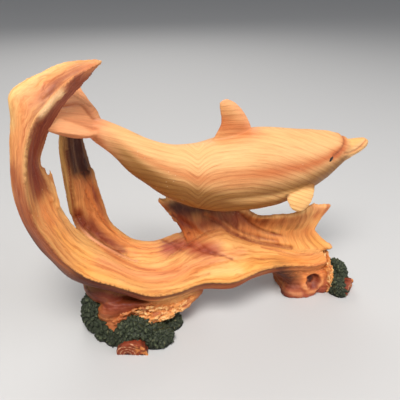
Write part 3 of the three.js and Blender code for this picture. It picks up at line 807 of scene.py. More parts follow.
def mixed_colour(tree, mode, amount, first, second):
    node = tree.nodes.new("ShaderNodeMix")
    node.data_type = "RGBA"
    node.blend_type = mode
    for socket, value in ((node.inputs[0], amount), (node.inputs[6], first), (node.inputs[7], second)):
        if isinstance(value, (int, float)):
            socket.default_value = value
        elif isinstance(value, tuple):
            socket.default_value = (*value, 1)
        else:
            link(tree, value, socket)
    return node.outputs[2]


def noise_node(tree, vector, scale, detail, roughness=0.5):
    node = tree.nodes.new("ShaderNodeTexNoise")
    node.inputs["Scale"].default_value = scale
    node.inputs["Detail"].default_value = detail
    node.inputs["Roughness"].default_value = roughness
    link(tree, vector, node.inputs["Vector"])
    return node.outputs["Fac"]


def new_group(name, inputs, outputs):
    group = bpy.data.node_groups.new(name, "ShaderNodeTree")
    for label, kind, value in inputs:
        socket = group.interface.new_socket(label, in_out="INPUT", socket_type=kind)
        if value is not None:
            socket.default_value = value
    for label, kind in outputs:
        group.interface.new_socket(label, in_out="OUTPUT", socket_type=kind)
    return group, group.nodes.new("NodeGroupInput").outputs, group.nodes.new("NodeGroupOutput").inputs


def wood_grain_group():
    """Printed and carved wood grain: streaks along one coordinate, year lines across the other."""
    tree, given, out = new_group("wood_grain", [
        ("Along", "NodeSocketFloat", 0.0), ("Across", "NodeSocketFloat", 0.0),
        ("Line Spacing", "NodeSocketFloat", 2.6), ("Streak Length", "NodeSocketFloat", 22.0),
        ("Sway", "NodeSocketFloat", 1.5)],
        [("Lines", "NodeSocketFloat"), ("Streaks", "NodeSocketFloat"), ("Fibres", "NodeSocketFloat")])
    long_place = math_node(tree, "DIVIDE", given["Along"], given["Streak Length"])
    flow = tree.nodes.new("ShaderNodeCombineXYZ")
    link(tree, long_place, flow.inputs[0])
    link(tree, math_node(tree, "MULTIPLY", given["Across"], 0.11), flow.inputs[1])
    sway = noise_node(tree, flow.outputs[0], 1.4, 2)
    swayed = math_node(tree, "ADD", given["Across"], math_node(tree, "MULTIPLY", sway, given["Sway"]))
    turns = math_node(tree, "DIVIDE", swayed, given["Line Spacing"])
    wave_up = math_node(tree, "FRACT", turns)
    sharp = math_node(tree, "POWER", wave_up, 2.6)
    past_peak = math_node(tree, "SUBTRACT", wave_up, 0.9)
    fall = math_node(tree, "SUBTRACT", 1.0, math_node(tree, "MULTIPLY", past_peak, 10.0))
    line = math_node(tree, "MULTIPLY", sharp, math_node(tree, "MINIMUM", fall, 1.0))
    link(tree, math_node(tree, "MAXIMUM", line, 0.0), out["Lines"])
    streak_place = tree.nodes.new("ShaderNodeCombineXYZ")
    link(tree, long_place, streak_place.inputs[0])
    link(tree, math_node(tree, "MULTIPLY", swayed, 0.55), streak_place.inputs[1])
    link(tree, noise_node(tree, streak_place.outputs[0], 1.0, 4, 0.6), out["Streaks"])
    fibre_place = tree.nodes.new("ShaderNodeCombineXYZ")
    link(tree, math_node(tree, "MULTIPLY", long_place, 3.0), fibre_place.inputs[0])
    link(tree, math_node(tree, "MULTIPLY", given["Across"], 3.2), fibre_place.inputs[1])
    link(tree, noise_node(tree, fibre_place.outputs[0], 1.0, 3, 0.6), out["Fibres"])
    return tree


wood_grain = wood_grain_group()


def cast_surface_group():
    """What casting leaves: pinholes, soft dips and an uneven satin."""
    tree, given, out = new_group("cast_surface", [("Position", "NodeSocketVector", None)], [
        ("Pits", "NodeSocketFloat"), ("Dips", "NodeSocketFloat"), ("Sheen Blotches", "NodeSocketFloat")])
    cells = tree.nodes.new("ShaderNodeTexVoronoi")
    cells.inputs["Scale"].default_value = 420
    link(tree, given["Position"], cells.inputs["Vector"])
    where = noise_node(tree, given["Position"], 45, 2)
    hole = math_node(tree, "LESS_THAN", cells.outputs["Distance"], 0.15)
    patch = math_node(tree, "GREATER_THAN", where, 0.62)
    link(tree, math_node(tree, "MULTIPLY", hole, patch), out["Pits"])
    link(tree, noise_node(tree, given["Position"], 160, 3), out["Dips"])
    link(tree, noise_node(tree, given["Position"], 60, 2), out["Sheen Blotches"])
    return tree


cast_surface = cast_surface_group()


def placed_group(tree, group, **values):
    node = tree.nodes.new("ShaderNodeGroup")
    node.node_tree = group
    for name, value in values.items():
        socket = node.inputs[name.replace("_", " ").title()]
        if isinstance(value, (int, float)):
            socket.default_value = value
        else:
            link(tree, value, socket)
    return node.outputs


def attribute(tree, name):
    node = tree.nodes.new("ShaderNodeAttribute")
    node.attribute_name = name
    return node


def bump_node(tree, height, distance, strength):
    node = tree.nodes.new("ShaderNodeBump")
    node.inputs["Distance"].default_value = distance
    node.inputs["Strength"].default_value = strength
    link(tree, height, node.inputs["Height"])
    return node.outputs["Normal"]


def scaled_range(tree, value, low, high, to_low, to_high):
    node = tree.nodes.new("ShaderNodeMapRange")
    for socket, number in zip(list(node.inputs)[1:5], (low, high, to_low, to_high)):
        socket.default_value = number
    link(tree, value, node.inputs[0])
    return node.outputs[0]


def painted_wood_material(name, line_spacing, streak_strength, sway, line_strength=0, line_colour=(1, 1, 1)):
    """Painted resin with a wood print: the sprayed wash, long streaks, and darker year lines where
    the mesh's stripe attribute asks for them."""
    material = bpy.data.materials.new(name)
    material.use_nodes = True
    tree = material.node_tree
    shader = tree.nodes["Principled BSDF"]
    wash = attribute(tree, "wash").outputs["Color"]
    along = attribute(tree, "along").outputs["Fac"]
    across = attribute(tree, "across").outputs["Fac"]
    grain = placed_group(tree, wood_grain, along=along, across=across, line_spacing=line_spacing, sway=sway)
    position = tree.nodes.new("ShaderNodeTexCoord").outputs["Object"]
    cast = placed_group(tree, cast_surface, position=position)
    stripe = attribute(tree, "stripe").outputs["Fac"]
    striped = math_node(tree, "MULTIPLY", grain["Lines"], stripe)
    line_amount = math_node(tree, "MULTIPLY", striped, line_strength, clamp=True)
    lined = mixed_colour(tree, "MULTIPLY", line_amount, wash, line_colour)
    dark = scaled_range(tree, grain["Streaks"], 0.36, 0.52, streak_strength, 0.0)
    streaked = mixed_colour(tree, "MULTIPLY", dark, lined, (0.62, 0.36, 0.24))
    pale = scaled_range(tree, grain["Streaks"], 0.52, 0.70, 0.0, streak_strength * 0.6)
    brightened = mixed_colour(tree, "SCREEN", pale, streaked, (0.22, 0.12, 0.045))
    fibres = scaled_range(tree, grain["Fibres"], 0.3, 0.7, 0.86, 1.10)
    fibrous = mixed_colour(tree, "MULTIPLY", 1.0, brightened, fibres)
    pit_amount = math_node(tree, "MULTIPLY", cast["Pits"], 0.22)
    pitted = mixed_colour(tree, "MIX", pit_amount, fibrous, (0.80, 0.62, 0.42))
    link(tree, pitted, shader.inputs["Base Color"])
    rough = scaled_range(tree, cast["Sheen Blotches"], 0.3, 0.7, 0.44, 0.60)
    link(tree, rough, shader.inputs["Roughness"])
    shader.inputs["Specular IOR Level"].default_value = 0.32
    height = math_node(tree, "MULTIPLY", grain["Lines"], -0.5)
    relief = ((grain["Fibres"], 0.6), (grain["Streaks"], 0.9), (cast["Pits"], -0.8), (cast["Dips"], 0.35))
    for source, share in relief:
        height = math_node(tree, "ADD", height, math_node(tree, "MULTIPLY", source, share))
    link(tree, bump_node(tree, height, 0.0004, 0.55), shader.inputs["Normal"])
    return material


def finished_piece(name, mesh, material):
    """Moves a mesh drawn in millimetres onto the frame, and makes it a piece of the casting."""
    mesh.name = name
    mesh.transform(Matrix.Scale(0.001, 4) @ Matrix.Translation(to_frame))
    mesh.materials.clear()
    mesh.materials.append(material)
    mesh.polygons.foreach_set("use_smooth", [True] * len(mesh.polygons))
    piece = bpy.data.objects.new(name, mesh)
    bpy.context.scene.collection.objects.link(piece)
    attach(piece, "root")
    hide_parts("dolphin_figurine")


driftwood = painted_wood_material("driftwood_paint", 2.8, 0.6, 5.0, 0.26, (0.60, 0.33, 0.20))
wave_places, wave_normals = vertex_places(wave), vertex_normals(wave)
finished_piece("wave", wave, driftwood)

# The torn bark: where each foot meets the wave the casting copies bark ripped off in layers, level
# strata round the left neck and upright columns beside the knot hole. It is part of the casting,
# painted cream and orange over dark red cracks.

left_bark_line = [(-66, -20, 13), (-59, -24, 14.5), (-52, -25.5, 15.5), (-45, -26, 14.5), (-38, -26.5, 13.5),
                  (-31, -25.5, 14), (-25, -24, 15), (-18, -21, 17)]
right_bark_line = [(76.6, -25.5, 25.5), (76.6, -27, 20), (76.6, -28, 14), (77, -28.6, 8), (77.4, -29, 2.0)]
bark_voxel = 0.34
bark_chip = 0.12
bark_tilt_spread = 0.22
bark_lean_spread = 0.16
bark_top = 32
bark_cream = (0.92, 0.56, 0.24)
bark_orange = (0.76, 0.29, 0.075)
bark_crack = (0.20, 0.045, 0.014)


def low_front_tree():
    """The front of the wave's low parts, to be searched by x and z alone."""
    forward = (wave_normals[:, 1] < -0.15) & (wave_places[:, 1] < -12)
    front = np.flatnonzero(forward & (wave_places[:, 2] < bark_top))
    tree = KDTree(len(front))
    for vertex in front:
        tree.insert((wave_places[vertex, 0], 0, wave_places[vertex, 2]), vertex)
    tree.balance()
    return tree


wave_front_tree = low_front_tree()


def wave_front_at(x, z):
    return wave_places[wave_front_tree.find((x, 0, z))[1], 1]


def bark_slab(sizes, tilt, lean, turn, place):
    """One chipped slab, tilted and leant at random, then turned along its course and put in place."""
    bm = bmesh.new()
    bmesh.ops.create_cube(bm, size=1)
    bmesh.ops.scale(bm, vec=sizes, verts=bm.verts)
    bmesh.ops.bevel(bm, geom=bm.edges[:], offset=bark_chip, affect="EDGES", segments=1, profile=0.5,
                    material=-1)
    for matrix in (Matrix.Rotation(tilt, 3, "Y"), Matrix.Rotation(lean, 3, "Z"), turn):
        bmesh.ops.rotate(bm, cent=(0, 0, 0), matrix=matrix, verts=bm.verts)
    bmesh.ops.translate(bm, vec=place, verts=bm.verts)
    return bm


def bark_mesh(line, count, spread, sizes, upright, seed):
    """Slabs of bark laid along a line: sizes is the longest slab's length, depth and thickness."""
    draw = np.random.default_rng(seed)
    shares = draw.uniform(0, 1, count)
    centres = smooth_path(line, shares)
    before = smooth_path(line, np.maximum(shares - 0.03, 0))
    after = smooth_path(line, np.minimum(shares + 0.03, 1))
    outward = Vector((0.15, -1, 0.25)).normalized()
    skins = []
    for share, centre, course in zip(shares, centres, after - before):
        if not upright:
            course = course * (1, 1, 0.45)
        course = Vector(course).normalized()
        side = outward.cross(course).normalized()
        turn = Matrix((course, side.cross(course), side)).transposed()
        slab_sizes = sizes * draw.uniform(0.45, 1.0, 3)
        tilt = draw.normal(0, bark_tilt_spread)
        lean = draw.normal(0, bark_lean_spread)
        reach = spread if upright else spread * (0.15 + 0.85 * math.sin(math.pi * share ** 0.7))
        place = Vector(centre) + side * draw.uniform(-reach, reach)
        place.y = wave_front_at(place.x, place.z) - draw.uniform(-0.7, 0.9 if upright else 0.45)
        skins.append(bark_slab(slab_sizes, tilt, lean, turn, place))
    mesh = fused_skin(skins, bark_voxel, 1)
    places, normals = vertex_places(mesh), vertex_normals(mesh)
    places += normals * (0.22 * soft_noise(places / 0.8, seed + 1))[:, None]
    places[:, 2] = np.maximum(places[:, 2], 0)
    move_vertices(mesh, places)
    return mesh


def paint_bark(mesh, upright, seed):
    places, normals = vertex_places(mesh), vertex_normals(mesh)
    proud = proud_of(mesh, 14)
    brush = Airbrush(places, normals, bark_orange)
    patches = soft_noise(places / 2.4, seed) + 0.3 * soft_noise(places / 0.9, seed + 3)
    brush.spread(bark_cream, soft_step(patches, -0.35, 0.25) * soft_step(proud, -0.1, 0.25))
    brush.spread(brick_wood_and_shade, 0.8 * soft_step(soft_noise(places / 3.1, seed + 5), 0.25, 0.6))
    if not upright:
        brush.spread(brick_wood_and_shade, 0.75 * soft_step(-50 - places[:, 0], 0, 8))
    brush.spread(bark_crack, soft_step(-proud, 0.05, 0.45))
    keep_colour(mesh, "wash", brush.colours)
    along, across = places[:, 2], places[:, 0]
    if not upright:
        along, across = places[:, 0], places[:, 2] - 0.3 * places[:, 0]
    keep_value(mesh, "along", along)
    keep_value(mesh, "across", across)


bark_paint = painted_wood_material("bark_paint", 1.1, 0.8, 1.2)
left_bark = bark_mesh(left_bark_line, 270, 6.2, np.array((4.6, 2.6, 1.4)), False, 7)
paint_bark(left_bark, False, 61)
finished_piece("left_torn_bark", left_bark, bark_paint)
right_bark = bark_mesh(right_bark_line, 90, 2.8, np.array((7.5, 2.6, 1.3)), True, 8)
paint_bark(right_bark, True, 71)
finished_piece("right_torn_bark", right_bark, bark_paint)

# The moss: cushions of small leaves cast round both feet, painted green-black and dry-brushed with
# sage on the leaf tips. They run under to the flat base that stands on the table.

left_moss_lumps = [((-75, -7.5, 10), (8, 10, 15.8)), ((-56, -28.6, 5), (11.6, 9.0, 12.6)),
                   ((-44.0, -31.6, 2.5), (10.5, 8.6, 8.6)), ((-62, 11, 4), (17.4, 11.4, 12.4)),
                   ((-70, -17, 4), (8, 8, 9)), ((-33, -21, 1.5), (8.5, 8, 6.5)),
                   ((-67, -22, 2), (6.5, 7.5, 6.0))]
right_moss_lumps = [((84.8, -20.5, 4), (8.5, 10.6, 14.8)), ((68, 4, 3), (16.4, 9.4, 12.4)),
                    ((82.0, -28.6, 2.5), (6.3, 8.5, 9.2))]
moss_voxel = 0.42
moss_leaf_width = 2.9
moss_leaf_overlap = 1.15
moss_leaf_squeeze = (1, 1, 0.8)
moss_green = (0.026, 0.034, 0.015)
moss_shade = (0.004, 0.005, 0.003)
moss_sage = (0.15, 0.17, 0.085)
moss_straw = (0.20, 0.15, 0.07)


def moss_mesh(lumps, seed):
    """Lumps covered with overlapping leaves: each leaf's cell tilts up towards its own tip."""
    mesh = fused_skin([table_lump(*lump) for lump in lumps], moss_voxel, 6)
    places, normals = vertex_places(mesh), vertex_normals(mesh)
    draw = np.random.default_rng(seed)
    count = int(len(places) * moss_voxel ** 2 / moss_leaf_width ** 2 * moss_leaf_overlap)
    picked = draw.choice(len(places), count, replace=False)
    tree = KDTree(count)
    for index, vertex in enumerate(picked):
        tree.insert(places[vertex] * moss_leaf_squeeze, index)
    tree.balance()
    tips = draw.normal(0, 1, (count, 3)) + (0, 0, -0.5)
    tips -= normals[picked] * (tips * normals[picked]).sum(axis=1)[:, None]
    tips /= np.linalg.norm(tips, axis=1)[:, None] + 1e-9
    rise = draw.uniform(-0.35, 0.35, count)
    pairs = [tree.find_n(place * moss_leaf_squeeze, 2) for place in places]
    leaf = np.array([pair[0][1] for pair in pairs])
    border = np.array([pair[1][2] - pair[0][2] for pair in pairs])
    offset = places - places[picked[leaf]]
    forward = (offset * tips[leaf]).sum(axis=1)
    sideways = np.linalg.norm(offset - tips[leaf] * forward[:, None], axis=1)
    lift = 0.75 * np.tanh(forward / 1.1) - 0.16 * sideways ** 2 + rise[leaf]
    lift -= 0.65 * np.exp(-(border / 0.32) ** 2)
    lift += 0.9 * soft_noise(places / 5.0, seed + 2) + 0.14 * soft_noise(places / 0.7, seed + 3)
    standing = soft_step(places[:, 2], 0.0, 1.2)
    places = places + normals * (lift * standing)[:, None]
    places[:, 2] = np.maximum(places[:, 2], 0)
    move_vertices(mesh, places)
    tint = draw.uniform(0, 1, count)[leaf]
    return mesh, tint


def paint_moss(mesh, tint):
    places, normals = vertex_places(mesh), vertex_normals(mesh)
    proud = proud_of(mesh, 10)
    brush = Airbrush(places, normals, moss_green)
    brush.spread(moss_shade, 0.95 * soft_step(-proud, -0.02, 0.4))
    brush.spread(moss_sage, 0.75 * soft_step(proud, 0.12, 0.55) * soft_step(tint, 0.25, 0.8))
    brush.spread(moss_straw, 0.7 * soft_step(proud, 0.2, 0.6) * soft_step(tint, 0.86, 0.95))
    brush.spread(moss_shade, 0.8 * soft_step(2.5 - places[:, 2], 0, 2))
    keep_colour(mesh, "wash", brush.colours)


def moss_material():
    material = bpy.data.materials.new("moss_paint")
    material.use_nodes = True
    tree = material.node_tree
    shader = tree.nodes["Principled BSDF"]
    wash = attribute(tree, "wash").outputs["Color"]
    position = tree.nodes.new("ShaderNodeTexCoord").outputs["Object"]
    cast = placed_group(tree, cast_surface, position=position)
    speckle = noise_node(tree, position, 1500, 3, 0.6)
    shaded = mixed_colour(tree, "MULTIPLY", 1.0, wash, scaled_range(tree, speckle, 0.3, 0.7, 0.55, 1.5))
    crumbs = scaled_range(tree, noise_node(tree, position, 900, 2), 0.62, 0.74, 0.0, 0.5)
    link(tree, mixed_colour(tree, "MIX", crumbs, shaded, (0.10, 0.115, 0.06)), shader.inputs["Base Color"])
    link(tree, scaled_range(tree, cast["Sheen Blotches"], 0.3, 0.7, 0.42, 0.68), shader.inputs["Roughness"])
    shader.inputs["Specular IOR Level"].default_value = 0.35
    height = math_node(tree, "ADD", speckle, math_node(tree, "MULTIPLY", cast["Dips"], 0.5))
    link(tree, bump_node(tree, height, 0.0006, 0.7), shader.inputs["Normal"])
    return material


moss_paint = moss_material()
moss_cushions = (("left_moss", left_moss_lumps, 17), ("right_moss", right_moss_lumps, 19))
for moss_name, moss_lumps, moss_seed in moss_cushions:
    moss, moss_tint = moss_mesh(moss_lumps, moss_seed)
    paint_moss(moss, moss_tint)
    finished_piece(moss_name, moss, moss_paint)

# The sawn log ends: a short branch stub comes out of the moss of each foot, with its year rings cut
# across. Each is cast with the foot, painted red-orange with cream rings and a black heart.

# Each stub's name, root, end, radius, the heart's place off its middle, and seed.
log_stubs = [
    ("left_log", (-54.2, -22.6, 1.4), (-60.1, -38.4, -0.4), 8.8, (-2.6, 0.8), 23),
    ("right_log", (80.0, -22.2, 4.2), (88.8, -32.8, 3.6), 6.2, (-1.0, 1.0), 24),
]
profile_step = 0.3
ring_step = 1.05
ring_depth = 0.22
log_red = (0.31, 0.055, 0.017)
log_cream = (0.72, 0.36, 0.19)
log_heart = (0.035, 0.008, 0.010)


def turned_stub(radius, length):
    """A stub turned from a profile, standing under its sawn end, which has a groove for each year."""
    bm = bmesh.new()
    steps = int(radius / profile_step)
    reaches = [radius * i / steps for i in range(steps)]
    profile = [(reach, ring_depth * math.sin(2 * math.pi * reach / ring_step)) for reach in reaches]
    profile += [(radius, -0.4)]
    profile += [(radius * (1 + 0.02 * math.sin(depth)), -depth) for depth in np.arange(0.8, length, 0.5)]
    knots = [bm.verts.new((x, 0, z)) for x, z in profile]
    edges = [bm.edges.new(pair) for pair in zip(knots, knots[1:])]
    whole_turn = 2 * math.pi
    bmesh.ops.spin(bm, geom=knots + edges, cent=(0, 0, 0), axis=(0, 0, 1), angle=whole_turn, steps=120,
                   use_merge=True)
    bmesh.ops.remove_doubles(bm, verts=bm.verts, dist=1e-4)
    bmesh.ops.holes_fill(bm, edges=[edge for edge in bm.edges if edge.is_boundary])
    bmesh.ops.recalc_face_normals(bm, faces=bm.faces)
    mesh = bpy.data.meshes.new("log")
    bm.to_mesh(mesh)
    bm.free()
    return mesh


def roughen_and_paint(mesh, radius, heart, seed):
    """Splits and chips in the sawn end, furrows in the bark, then cream rings on a red end."""
    places, normals = vertex_places(mesh), vertex_normals(mesh)
    reach = np.hypot(places[:, 0] - heart[0], places[:, 1] - heart[1])
    turn = np.arctan2(places[:, 1], places[:, 0])
    on_end = places[:, 2] > -0.6
    bark = soft_noise(np.stack([4.5 * np.cos(turn), 4.5 * np.sin(turn), places[:, 2] / 5], axis=1), seed)
    chipped = soft_noise(places / 1.7, seed + 1) * soft_step(places[:, 0], -0.1 * radius, 0.6 * radius)
    end_lift = 0.75 * chipped + 0.12 * soft_noise(places / 0.6, seed + 4)
    bark_lift = 0.5 * bark + 0.15 * soft_noise(places / 0.8, seed + 2)
    places = places + normals * np.where(on_end, end_lift, bark_lift)[:, None]
    brush = Airbrush(places, normals, log_red)
    swayed = reach + 0.25 * soft_noise(places / 2.5, seed + 5)
    arcs = 0.5 + 0.5 * np.cos(2 * np.pi * swayed / (2 * ring_step))
    whole = 1 - soft_step(places[:, 0], 0.05 * radius, 0.5 * radius)
    splits = soft_step(soft_noise(places / 1.4, seed + 6), -0.2, 0.5)
    brush.spread(log_cream, 0.9 * on_end * soft_step(arcs, 0.80, 0.98) * whole)
    brush.spread(bark_orange, 0.8 * on_end * (1 - whole) * splits)
    brush.spread(log_heart, 0.95 * on_end * np.exp(-(reach / 1.5) ** 2))
    # The same near-black also darkens the sawn end towards its bottom.
    brush.spread(log_heart, 0.85 * on_end * soft_step(-places[:, 1], 0.62 * radius, 0.92 * radius))
    brush.spread(red_wood_and_shade, 0.85 * ~on_end)
    brush.spread(dark_wood_and_shade, 0.7 * ~on_end * soft_step(-bark, 0.0, 0.5))
    keep_colour(mesh, "wash", brush.colours)
    keep_value(mesh, "along", turn * radius * 0.6)
    keep_value(mesh, "across", np.where(on_end, reach, places[:, 2]))
    move_vertices(mesh, places)


def log_mesh(root, end, radius, heart, seed):
    """A stub laid from its root in the moss to its sawn end, and cut flat where it meets the table."""
    root, end = Vector(root), Vector(end)
    mesh = turned_stub(radius, (end - root).length)
    roughen_and_paint(mesh, radius, heart, seed)
    line = (end - root).normalized()
    sideways = Vector((0, 0, 1)).cross(line).normalized()
    turned = Matrix((sideways, line.cross(sideways), line)).transposed().to_4x4()
    mesh.transform(Matrix.Translation(end) @ turned)
    low = vertex_places(mesh)
    low[:, 2] = np.maximum(low[:, 2], 0)
    move_vertices(mesh, low)
    return mesh


log_paint = painted_wood_material("log_paint", ring_step, 0.35, 0.6)
for log_name, log_root, log_end, log_radius, log_centre, log_seed in log_stubs:
    finished_piece(log_name, log_mesh(log_root, log_end, log_radius, log_centre, log_seed), log_paint)

# The dolphin: cast with the wave, smooth as sanded pine, with year lines that run the length of its
# body. A pink band is sprayed from the beak groove back along each flank, and the belly is ochre, darkened
# with painted shade.

spine = [(-68, 0, 124.5), (-61.4, 0, 120.4), (-54.8, 0, 115.8), (-47.8, 0, 110), (-39.8, 0, 102.8),
         (-31.5, 0, 97.2), (-21, 0, 91.5), (-7, 0, 86.9), (8.5, 0, 85.1), (27, 0, 85.6), (40.7, 0, 85.3),
         (57, 0, 86.2), (71.4, 0, 88.3), (81, 0, 89.8), (89.3, 0, 90.2), (94.3, 0, 89.9), (97.4, 0, 90.2),
         (103.6, 0, 91.4), (108.6, 0, 92.6), (111, 0, 93.1)]
half_heights = [3.4, 6, 7.2, 8.6, 10.8, 12.6, 15.8, 19.6, 23.1, 25.2, 24.6, 21.4, 17.4, 13.9, 9.9, 7.3,
                6.1, 4.9, 3.4, 1.3]
dolphin_voxel = 0.57
dolphin_smoothing = 5
body_width_share = 0.88
fluke_thickness = 7.5
dorsal_thickness = 7
flipper_thickness = 5.5


def spine_frames(shares):
    """Middle, up direction and half height of the body at each share of the spine."""
    middle = smooth_path(spine, shares)
    before = smooth_path(spine, np.maximum(shares - 0.005, 0))
    ahead = smooth_path(spine, np.minimum(shares + 0.005, 1)) - before
    ahead /= np.linalg.norm(ahead, axis=1)[:, None]
    up = np.cross(ahead, (0, 1, 0))
    half = smooth_path([(i, value, 0) for i, value in enumerate(half_heights)], shares)[:, 1]
    return middle, up, half


def body_places(around, along):
    middle, up, half = spine_frames(np.linspace(0, 1, along))
    turn = np.linspace(0, 2 * np.pi, around)
    sideways = np.array((0, 1, 0)) * body_width_share
    return middle[:, None] + half[:, None, None] * (
        np.cos(turn)[None, :, None] * up[:, None] + np.sin(turn)[None, :, None] * sideways)


def fin_places(front, back, normal, thickness, around, along):
    front, back = np.array(front, float), np.array(back, float)
    taper = 1 - 0.62 * np.linspace(0, 1, len(front))[:, None]
    core = front + (back - front) * 0.45
    bulge = np.array(normal) * taper * thickness / 2
    return swept_places([front, core + bulge, back, core - bulge], around, along, 0.5)


def flipper_places(side):
    mirrored = np.array((1, side, 1))
    front = np.array([(65, 6, 84), (63, 16.5, 75.6), (60, 21, 72), (57, 23, 68), (52.5, 23.6, 64.2)])
    back = np.array([(45, 6, 84), (44.5, 16, 75.2), (42, 20, 72), (43.6, 23, 66.8), (47.5, 23.6, 64)])
    outward = (0, side * 0.8, 0.6)
    return fin_places(front * mirrored, back * mirrored, outward, flipper_thickness, 60, 60)


fluke_guides = [
    [(-89, -11, 127.5), (-82, -12, 124.8), (-76.4, -11, 122.6), (-68, -7, 119.4), (-59, 0, 119),
     (-60.3, 6, 126.5), (-64, 12, 132.3), (-66.6, 17.5, 137), (-67, 22, 142)],
    [(-92, -8, 131), (-88.5, -6.5, 133.5), (-85.5, -4, 135), (-83, 0, 137), (-81.5, 4, 139), (-79.5, 8, 141),
     (-76, 13, 142.5), (-72, 17.5, 143.5), (-67.5, 22, 144)]]


def fluke_half_thickness(u, v):
    return fluke_thickness / 2 * np.sin(np.pi * (0.12 + 0.76 * u)) * np.sin(np.pi * (0.15 + 0.7 * v))


def dolphin_mesh():
    dorsal = fin_places(
        [(30, 0, 98), (25.5, 0, 114), (20.5, 0, 122.5), (15, 0, 128), (10.4, 0, 130.2)],
        [(-6, 0, 96), (3.5, 0, 109.5), (7.2, 0, 117), (6.3, 0, 124), (6, 0, 128.4)],
        (0, 1, 0), dorsal_thickness, 60, 60)
    flukes = slab_places(fluke_guides, 120, 40, fluke_half_thickness)
    grids = [body_places(120, 300), dorsal, flipper_places(-1), flipper_places(1), flukes]
    return fused_skin([skin_from_grid(grid) for grid in grids], dolphin_voxel, dolphin_smoothing)


dolphin = dolphin_mesh()


def body_coordinates(places):
    """Share along the spine, and angle above the flank in degrees."""
    shares = np.linspace(0, 1, 400)
    middle, up, _ = spine_frames(shares)
    best = np.full(len(places), 1e9)
    index = np.zeros(len(places), int)
    for i, knot in enumerate(middle):
        gap = ((places - knot) ** 2).sum(axis=1)
        closer = gap < best
        best[closer] = gap[closer]
        index[closer] = i
    offset = places - middle[index]
    height = (offset * up[index]).sum(axis=1)
    angle = np.degrees(np.arctan2(height, np.abs(offset[:, 1]) + 1e-6))
    return shares[index], angle


mouth_line = [(86.2, 9.8, 91.4), (89.5, 8.7, 90.6), (92.2, 7.9, 90.1), (95, 6.4, 90.0), (98, 5.2, 90.1),
              (102.1, 4.5, 91.7), (104.7, 3.7, 93.1), (107.9, 2.2, 94.9)]
beak_crease = [(90.0, 0, 99.4), (89.4, 3.4, 98.6), (88.2, 6.0, 96.8), (85.6, 8.8, 95.0), (81.6, 11.2, 93.4),
               (77.4, 13.2, 92.0)]
eye_place = (74.0, 14.2, 90.8)
flipper_root = [(58, 16.5, 76), (50, 17, 74.5), (43, 17, 74)]
flipper_tip = [(47, 23.6, 64.5), (43.6, 22.5, 68), (43, 20, 71)]
belly_bubbles = ((19, -21.3, 83), (11, -21, 76), (-30, -12, 88), (-52, -9, 106), (30, -20.5, 79))


def both_sides(places, path, radius):
    """near_path for a path on the far side and for its twin on the near side."""
    return np.maximum(near_path(places, path, radius), near_path(places, np.array(path) * (1, -1, 1), radius))


fluke_fold = [(-59.5, -1, 121.5), (-64, 0.5, 127), (-69, 2.8, 134), (-76.4, -0.9, 135), (-83, -5, 134.5)]
fluke_ribs = [[(-63.7, 4.7, 132.4), (-69, 5.2, 136.2), (-74.3, 6.1, 139.5)],
              [(-64.5, 7.6, 134.6), (-68.5, 8, 137.6), (-73, 8.8, 140.6)],
              [(-66, 10.8, 137.4), (-69, 11.2, 139.6), (-72, 11.5, 141.5)],
              [(-62, -3.6, 121.6), (-70, -6, 126), (-78, -8.5, 129.5)]]


def carve_dolphin():
    """The mouth, the crease round the beak, the rim of each eye and the ribs of the tail."""
    places, normals = vertex_places(dolphin), vertex_normals(dolphin)
    x, y, z = places.T
    mouth, crease, eye = np.array(mouth_line), np.array(beak_crease), np.array(eye_place)
    cuts = (
        (-0.55, mouth, 0.5), (0.40, mouth + (0, 0.2, -1.5), 0.9), (-0.75, crease, 1.8),
        (0.45, crease[:5] + (-2.8, 0.6, 0.8), 1.6), (0.50, [eye + (0, 0.3, -1.6)], 1.3),
        (0.35, [eye + (0, -0.2, 1.6)], 1.3), (-0.80, [eye], 0.9), (-0.55, flipper_root, 1.0))
    relief = np.zeros(len(places))
    for height, path, radius in cuts:
        relief += height * both_sides(places, path, radius)
    tail = soft_step(-52 - x, 0, 12)
    ribs = soft_noise(np.stack([(x + 0.6 * z) / 30, (y - 0.25 * x) / 2.6, z / 9], axis=1), 81)
    relief += 0.30 * tail * (1 - 2 * np.abs(ribs))
    relief -= 1.0 * near_path(places, fluke_fold, 1.4)
    for rib in fluke_ribs:
        relief -= 0.6 * near_path(places, rib, 1.0)
    relief += 0.05 * soft_noise(places / 3.5, 82) + 0.03 * soft_noise(places / 1.1, 83)
    relief += 0.22 * both_sides(places, flipper_tip, 1.8) * soft_noise(places / 1.2, 84)
    blisters = soft_step(soft_noise(places / 0.75, 85), 0.25, 0.6)
    for bubble in belly_bubbles:
        relief += 0.28 * near_path(places, [bubble], 3.2) * blisters
    move_vertices(dolphin, places + normals * relief[:, None])


carve_dolphin()

# The year lines follow layers that lie aslant in the body and rise and fall along it.
layer_runs = [-56, -24, -13, -9, -6, -2.5, 2.5, 11, 24, 36, 49, 59, 78, 88]
layer_heights = [9, 2, 0, -2.5, -5, -1, 1.8, 3.5, 4.5, 3.3, 0, -3, -9, -12]
pine_yellow = (0.81, 0.445, 0.18)
pine_tail = (0.85, 0.365, 0.165)
belly_ochre_and_shade = (0.27, 0.105, 0.013)
pine_rim = (0.32, 0.12, 0.018)
pine_pink = (0.56, 0.14, 0.034)
pine_beak = (0.83, 0.435, 0.145)
pine_flipper = (0.90, 0.51, 0.19)
pine_shadow = (0.10, 0.025, 0.006)


def grain_layers(places):
    """Place of each vertex along the body and across its year lines."""
    x, y, z = places.T
    side = np.sqrt(y ** 2 + 9)
    rise = 0.155 * x - 0.427 * side + 0.891 * z
    run = 0.94 * x + 0.342 * side
    return run, rise - evened(dolphin, np.interp(run, layer_runs, layer_heights), 12)


